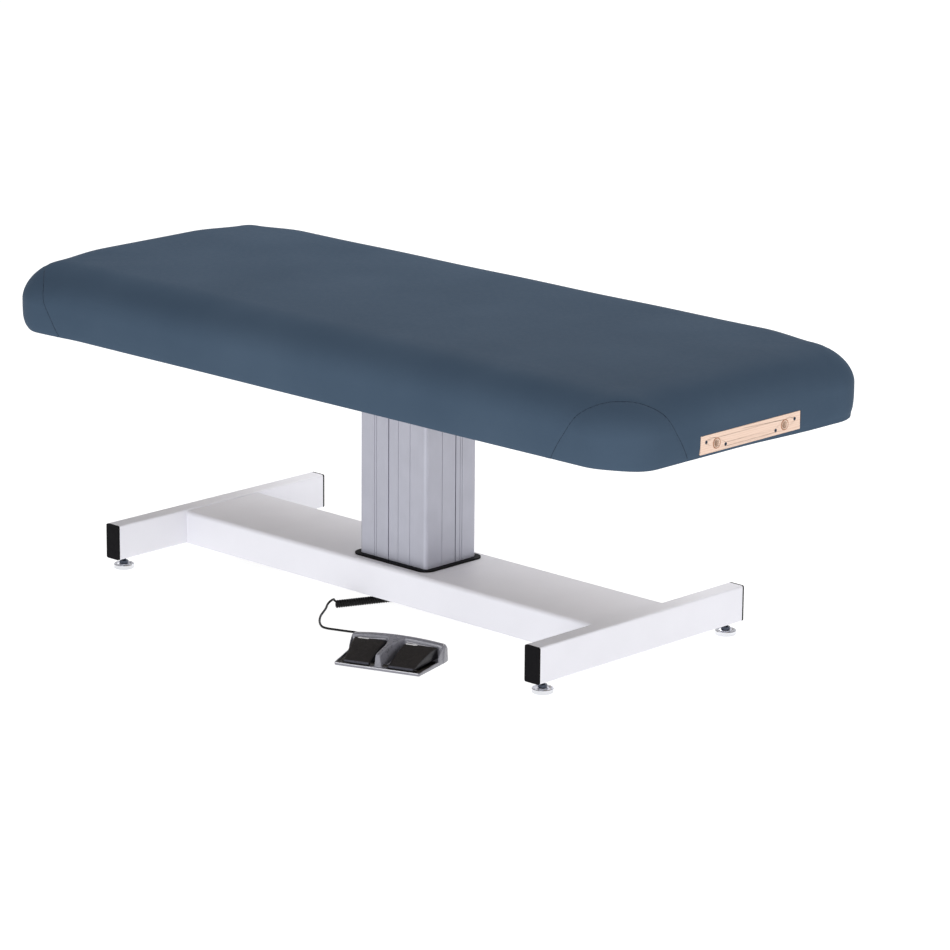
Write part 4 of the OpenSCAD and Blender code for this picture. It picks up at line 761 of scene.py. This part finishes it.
# The fin: a narrow post in front, widening into the hood with a hollow flank on each side
FIN_FRONT, FIN_LONG, FIN_TOP, FIN_STEPS = -57.2, 98, 35.4, 44
fin_rings = []
for k in range(FIN_STEPS + 1):
    t = k / FIN_STEPS
    v = FIN_FRONT + FIN_LONG * t
    ease = min(1, t / 0.035)
    rise = min(1, t / 0.9)
    top = FIN_TOP + (hood_top(0) - 0.2 - FIN_TOP) * rise ** 0.9 - 2.2 * (1 - ease) ** 2
    half = 4.4 + 1.6 * t + 15 * max(0, (t - 0.42) / 0.58) ** 2.0
    foot = 8.3 + 8.5 * t ** 0.9
    ring = [(-foot, v - 0.6 * (1 - ease), 3)]
    hollow = 1 - 0.35 * min(1, 3 * t)
    flank = [(foot + (half - foot) * q ** hollow, 3 + (top - 3) * q) for q in (0.15, 0.35, 0.55, 0.75, 0.9)]
    ring += [(-w, v, h) for w, h in flank]
    ring += [(-half + 0.5, v, top - 0.3), (0, v, top), (half - 0.5, v, top - 0.3)]
    ring += [(w, v, h) for w, h in reversed(flank)]
    ring.append((foot, v - 0.6 * (1 - ease), 3))
    fin_rings.append(ring)
# Pedals: inner edge, outer edge in front and at the rear, front and rear end, gap round them
PED_IN, PED_OUT0, PED_OUT1, PED_V0, PED_V1, GAP = 21, 79, 94, -54, 33, 1.2


def pedal_out(v):
    return PED_OUT0 + (PED_OUT1 - PED_OUT0) * (v - PED_V0) / (PED_V1 - PED_V0)


shell_parts = [
    loft(hood_rings),
    loft(fin_rings),
    prism([(-94, -62), (94, -62), (96.3, -60.2), (96.3, -58.4), (-96.3, -58.4), (-96.3, -60.2)], 1.2, 7.6),
    prism([(-96, -59), (96, -59), (96, -45.4), (-96, -45.4)], 2.6, 5.2),
    prism([(-PED_IN + GAP, -58), (PED_IN - GAP, -58), (PED_IN - GAP, 50), (-PED_IN + GAP, 50)], 2.6, 8.2),
]
for side in (-1, 1):
    rim = [(pedal_out(-60) + GAP + 0.2, -57), (half_width(-57) - 0.4, -57), (half_width(50) - 0.4, 50),
           (pedal_out(36) + GAP + 0.2, 36)]
    shell_parts.append(prism([(side * u, v) for u, v in rim][::side], 1.6, 5.4))
    ridge = [(half_width(-52) - 3.4, -60), (half_width(-60) - 0.4, -60), (half_width(52) - 0.4, 52),
             (half_width(52) - 3.6, 52)]
    ridge_v, ridge_f = prism([(side * u, v) for u, v in ridge][::side], 1.6, 8.4)
    shell_parts.append(([(u, v, z + (3.4 * (v + 60) / 112 if z > 5 else 0)) for u, v, z in ridge_v], ridge_f))
    cheek = []
    for k in range(9):
        t = k / 8
        v = 20 + 20 * t
        h = 12 + (hood_top(100) - 14) * t ** 0.6
        w = half_width(v)
        cheek.append([(side * (w - 3.8), v, 6), (side * (w - 3.4), v, h - 1), (side * (w - 2.6), v, h),
                      (side * (w - 1.4), v, h - 0.6), (side * (w - 0.6), v, 9), (side * (w - 0.4), v, 6)])
    shell_parts.append(loft(cheek))
shell_v, shell_f = merged(*shell_parts)
# Floor pieces in the gaps in front of and beside the pedals, coloured dark brown as painted shade in the gaps
tray_parts = [prism([(-94.5, -57.6), (94.5, -57.6), (94.5, -46), (-94.5, -46)], 4.4, 6.0)]
for side in (-1, 1):
    strip = [(pedal_out(-48) + 1.4, -48), (half_width(-48) - 3.6, -48), (half_width(32) - 4.4, 32),
             (pedal_out(32) + 1.4, 32)]
    tray_parts.append(prism([(side * u, v) for u, v in strip][::side], 4.4, 6.2))
tray_v, tray_f = merged(*tray_parts)
new_piece("foot_switch_tray", [at_switch(*p) for p in tray_v], tray_f, "base", "switch_grey", "tray", 0)
# Light tubes along the shell's front lip and along the hood's lower front edge: painted highlights on these edges
highlight_edge_parts = [tube([(u, -61.4, 6.9) for u in (-93.5, -30, 30, 93.5)], 0.95, 8)]
for u0, u1 in ((-88, -24), (24, 90)):
    lip_line = [(u0 + (u1 - u0) * k / 12, 1.2 * abs(k - 6) / 6) for k in range(13)]
    highlight_edge_parts.append(tube([(u, 34.4, hood_top(u) - 8.4 + lift) for u, lift in lip_line], 0.9, 8))
edge_v, edge_f = merged(*highlight_edge_parts)
new_piece("foot_switch_painted_highlight_edges", [at_switch(*p) for p in edge_v], edge_f, "base", "switch_grey", "edge", 40)
shell = new_piece("foot_switch_shell", [at_switch(*p) for p in shell_v], shell_f, "base", "switch_grey", "grey", 0)
remesh = shell.modifiers.new("remesh", "REMESH")
remesh.mode = "VOXEL"
remesh.voxel_size = 0.0011
remesh.use_smooth_shade = True
soften = shell.modifiers.new("soften", "SMOOTH")
soften.factor = 0.5
soften.iterations = 3
decimate = shell.modifiers.new("decimate", "DECIMATE")
decimate.ratio = 0.35
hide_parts("switch_housing")

# Pedals: a wedge with a knurled tread, a lighter lip along its front and a plain arrow at its rear
AXLE_Z = 9
NOSE_Z, TREAD_Z = AXLE_Z + 3.4, 38
TREAD_AT = [0, 0.2, 0.45, 0.72, 1]
TREAD_UP = [0, 0.27, 0.58, 0.85, 1]


def tread_height(v):
    """Height of the tread's smooth curve over the floor"""
    t = (v - PED_V0) / (PED_V1 - PED_V0)
    knots = smooth_route([(a, b, 0) for a, b in zip(TREAD_AT, TREAD_UP)], 12)
    return NOSE_Z + (TREAD_Z - NOSE_Z) * float(np.interp(t, [k[0] for k in knots], [k[1] for k in knots]))


for name, side in (("left", -1), ("right", 1)):
    body_rings = []
    for k in range(30):
        v = PED_V0 + 0.3 + (PED_V1 - PED_V0 - 0.6) * k / 29
        t = (v - PED_V0) / (PED_V1 - PED_V0)
        low = 7.9 + 5.0 * t
        top = tread_height(v) - 1.5
        a, b = PED_IN + 0.2, pedal_out(v) - 0.2
        c = min(1.2, (top - low) / 3)
        d = c * 0.3
        ring = [(a, v, low + c), (a + c, v, low), (b - c, v, low), (b, v, low + c), (b, v, top - c),
                (b - d, v, top - d), (b - c, v, top), (a + c, v, top), (a + d, v, top - d), (a, v, top - c)]
        body_rings.append([at_switch(side * u, w, zz) for u, w, zz in ring])
    pedal_piece = new_piece(f"pedal_{name}_body", *loft(body_rings), f"{name}_pedal", "pedal_black", "pedal", 35)
    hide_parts(f"pedal_{name}")
    nu, nv = 50, 72
    top_rows, low_rows = [], []
    for j in range(nv + 1):
        v = PED_V0 + 3.2 + (PED_V1 - PED_V0 - 4.4) * j / nv
        a, b = PED_IN + 1.2, pedal_out(v) - 1.2
        edge_v = min(j, nv - j)
        row, low_row = [], []
        for i in range(nu + 1):
            u = a + (b - a) * i / nu
            edge = min(i, nu - i, edge_v)
            bump = 0.5 if (i % 2 and j % 2 and edge > 1) else 0.0
            zz = tread_height(v) - 0.55 + bump - (0.8 if edge == 0 else 0.25 if edge == 1 else 0)
            row.append(at_switch(side * u, v, zz))
            low_row.append(at_switch(side * u, v, tread_height(v) - 2.2))
        top_rows.append(row)
        low_rows.append(low_row)
    n = nu + 1
    tv = [p for r in top_rows for p in r]
    count = len(tv)
    tv += [p for r in low_rows for p in r]
    tf = [(j * n + i, j * n + i + 1, (j + 1) * n + i + 1, (j + 1) * n + i) for j in range(nv) for i in range(nu)]
    rim_ids = list(range(n)) + [j * n + nu for j in range(1, nv + 1)]
    rim_ids += [nv * n + i for i in range(nu - 1, -1, -1)] + [j * n for j in range(nv - 1, 0, -1)]
    tf += [(a, b, b + count, a + count) for a, b in zip(rim_ids, rim_ids[1:] + rim_ids[:1])]
    tf += [(count + j * n + i, count + (j + 1) * n + i, count + (j + 1) * n + i + 1, count + j * n + i + 1)
           for j in range(nv) for i in range(nu)]
    tread = new_piece(f"pedal_{name}_tread", tv, tf, f"{name}_pedal", "pedal_black", "tread", 0)
    lip_ring = []
    for k in range(13):
        u = PED_IN + 1.5 + (PED_OUT0 - PED_IN - 3) * k / 12
        lip_ring.append([at_switch(side * u, w, zz) for w, zz in
                         ((-53.9, 9.2), (-52.2, 8.6), (-50.4, 12.2), (-51.3, 12.9), (-53.2, 12.1), (-54, 10.8))])
    new_piece(f"pedal_{name}_lip", *loft(lip_ring), f"{name}_pedal", "pedal_black", "lip", 30)
    # A plain raised arrow, pointing outwards on each pedal
    mid = (PED_IN + pedal_out(26)) / 2 + (16 if side < 0 else -19)
    arrow = [(-13, -1.7), (5, -1.7), (5, -3.4), (13, 0), (5, 3.4), (5, 1.7), (-13, 1.7)]
    av = [at_switch(side * (mid + du), 28.6 + dv, tread_height(28.6 + dv) + h)
          for h in (-0.9, 0.35) for du, dv in arrow]
    count = len(arrow)
    af = [(i, (i + 1) % count, count + (i + 1) % count, count + i) for i in range(count)]
    af += [tuple(range(count)), tuple(range(count, 2 * count))]
    new_piece(f"pedal_{name}_arrow", av, af, f"{name}_pedal", "pedal_black", "mark", 0)

# Levelling studs with a chamfered hexagon and a threaded shank
for i, (fx, fy) in enumerate(((-633, -283), (633, -283), (-633, 283), (633, 283)), 1):
    thread = [(0, 4.4), (3.9, 4.4), (3.9, 10.3), (5.0, 10.4), (5.0, 17.3)]
    zz = 17.4
    while zz < 42.5:
        thread += [(4.45, zz), (4.95, zz + 0.55), (4.95, zz + 0.8), (4.45, zz + 1.35)]
        zz += 1.5
    thread += [(4.3, 44), (0, 44)]
    hexagon = []
    for r_share, z_hex in ((0.93, 10.3), (1, 11.1), (1, 16.5), (0.93, 17.3)):
        hexagon.append([(17 / math.sqrt(3) * r_share * math.cos(math.pi / 3 * k),
                         17 / math.sqrt(3) * r_share * math.sin(math.pi / 3 * k), z_hex) for k in range(6)])
    sv, sf = merged(turned(thread, 28), loft(hexagon))
    stud = new_piece(f"foot_stud_{i}_threaded", [Vector((px + fx, py + fy, pz)) * MM for px, py, pz in sv], sf,
                     f"foot_stud_{i}", "dark_steel", "dark_steel", 35)
    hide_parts(f"leveler_stud_{i}")

# Screws of the wooden plate with a hexagon socket
screw_parts = []
for y_share, z_share in ((0.886, 0.63), (0.502, 0.26)):
    for side in (-1, 1):
        sy, sz = side * y_share * 152.4, 524 + z_share * 38
        head = turned([(0, -34), (0.6, -34), (2.1, -30), (2.1, -3), (3.85, -0.25), (3.5, 0.0), (1.9, 0.0),
                       (1.75, -0.3), (1.7, -2.2), (0.2, -2.4), (0, -2.4)], 24)
        screw_parts.append(([(926.5 + pz, sy + px, sz + py) for px, py, pz in head[0]], head[1]))
sv, sf = merged(*screw_parts)
screws = new_piece("plate_screws", [Vector(p) * MM for p in sv], sf, "tabletop", "dark_steel", "dark_steel", 35)
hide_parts("end_plate_screws")

# Floor, light and sky
floor_mesh = bpy.data.meshes.new("floor")
floor_mesh.from_pydata([(-30, -30, 0), (30, -30, 0), (30, 30, 0), (-30, 30, 0)], [], [(0, 1, 2, 3)])
floor = bpy.data.objects.new("floor", floor_mesh)
scene.collection.objects.link(floor)
FLOOR_GLOW = 0.93
floor_mat = new_material("studio_floor", roughness=0.9)
floor_shader = floor_mat.node_tree.nodes["Principled BSDF"]
floor_shader.inputs["Base Color"].default_value = (0.25, 0.25, 0.25, 1)
floor_shader.inputs["Emission Color"].default_value = (1, 1, 1, 1)
floor_shader.inputs["Emission Strength"].default_value = FLOOR_GLOW
floor_mesh.materials.append(floor_mat)

world = bpy.data.worlds.new("studio")
scene.world = world
world.use_nodes = True
tree = world.node_tree
coord = tree.nodes.new("ShaderNodeTexCoord")
parts_xyz = tree.nodes.new("ShaderNodeSeparateXYZ")
tree.links.new(coord.outputs["Generated"], parts_xyz.inputs["Vector"])
sky = tree.nodes.new("ShaderNodeValToRGB")
sky_stops = [(0.0, 1.0), (0.2, 1.0), (0.4, 0.62), (0.65, 0.34), (1.0, 0.3)]
while len(sky.color_ramp.elements) < len(sky_stops):
    sky.color_ramp.elements.new(0.5)
for e, (at, c) in zip(sky.color_ramp.elements, sky_stops):
    e.position = at
    e.color = (c, c, c * (1.02 + 0.05 * at), 1)
tree.links.new(parts_xyz.outputs["Z"], sky.inputs["Fac"])
background = tree.nodes["Background"]
tree.links.new(sky.outputs["Color"], background.inputs["Color"])
# The left of the studio is a little darker
SKY_SIDE, SKY_MIDDLE = 0.17, 0.83
sideways = tree.nodes.new("ShaderNodeMath")
sideways.operation = "MULTIPLY_ADD"
sideways.inputs[1].default_value = SKY_SIDE
sideways.inputs[2].default_value = SKY_MIDDLE
tree.links.new(parts_xyz.outputs["X"], sideways.inputs[0])
tree.links.new(sideways.outputs[0], background.inputs["Strength"])
plain = tree.nodes.new("ShaderNodeBackground")
plain.inputs["Color"].default_value = (1, 1, 1, 1)
plain.inputs["Strength"].default_value = 1.0
path = tree.nodes.new("ShaderNodeLightPath")
mix = tree.nodes.new("ShaderNodeMixShader")
tree.links.new(path.outputs["Is Camera Ray"], mix.inputs[0])
tree.links.new(background.outputs[0], mix.inputs[1])
tree.links.new(plain.outputs[0], mix.inputs[2])
tree.links.new(mix.outputs[0], tree.nodes["World Output"].inputs["Surface"])


def softbox(name, place_at, aim, size, power, tint=(1, 1, 1)):
    lamp = bpy.data.objects.new(name, bpy.data.lights.new(name, "AREA"))
    lamp.data.shape = "RECTANGLE"
    lamp.data.size, lamp.data.size_y = size
    lamp.data.energy = power
    lamp.data.color = tint
    lamp.location = place_at
    lamp.rotation_euler = (Vector(aim) - Vector(place_at)).to_track_quat("-Z", "Y").to_euler()
    scene.collection.objects.link(lamp)


softbox("front", (1.5, -5.7, 1.1), (0, 0, 0.35), (3.5, 1.6), 100, (0.98, 0.985, 1))
softbox("right", (5.5, 0.0, 1.3), (0, 0, 0.4), (2.5, 1.8), 34, (1, 0.98, 0.96))
softbox("behind", (-1.6, 3.0, 4.2), (0, 0, 0.6), (4.0, 3.0), 188)
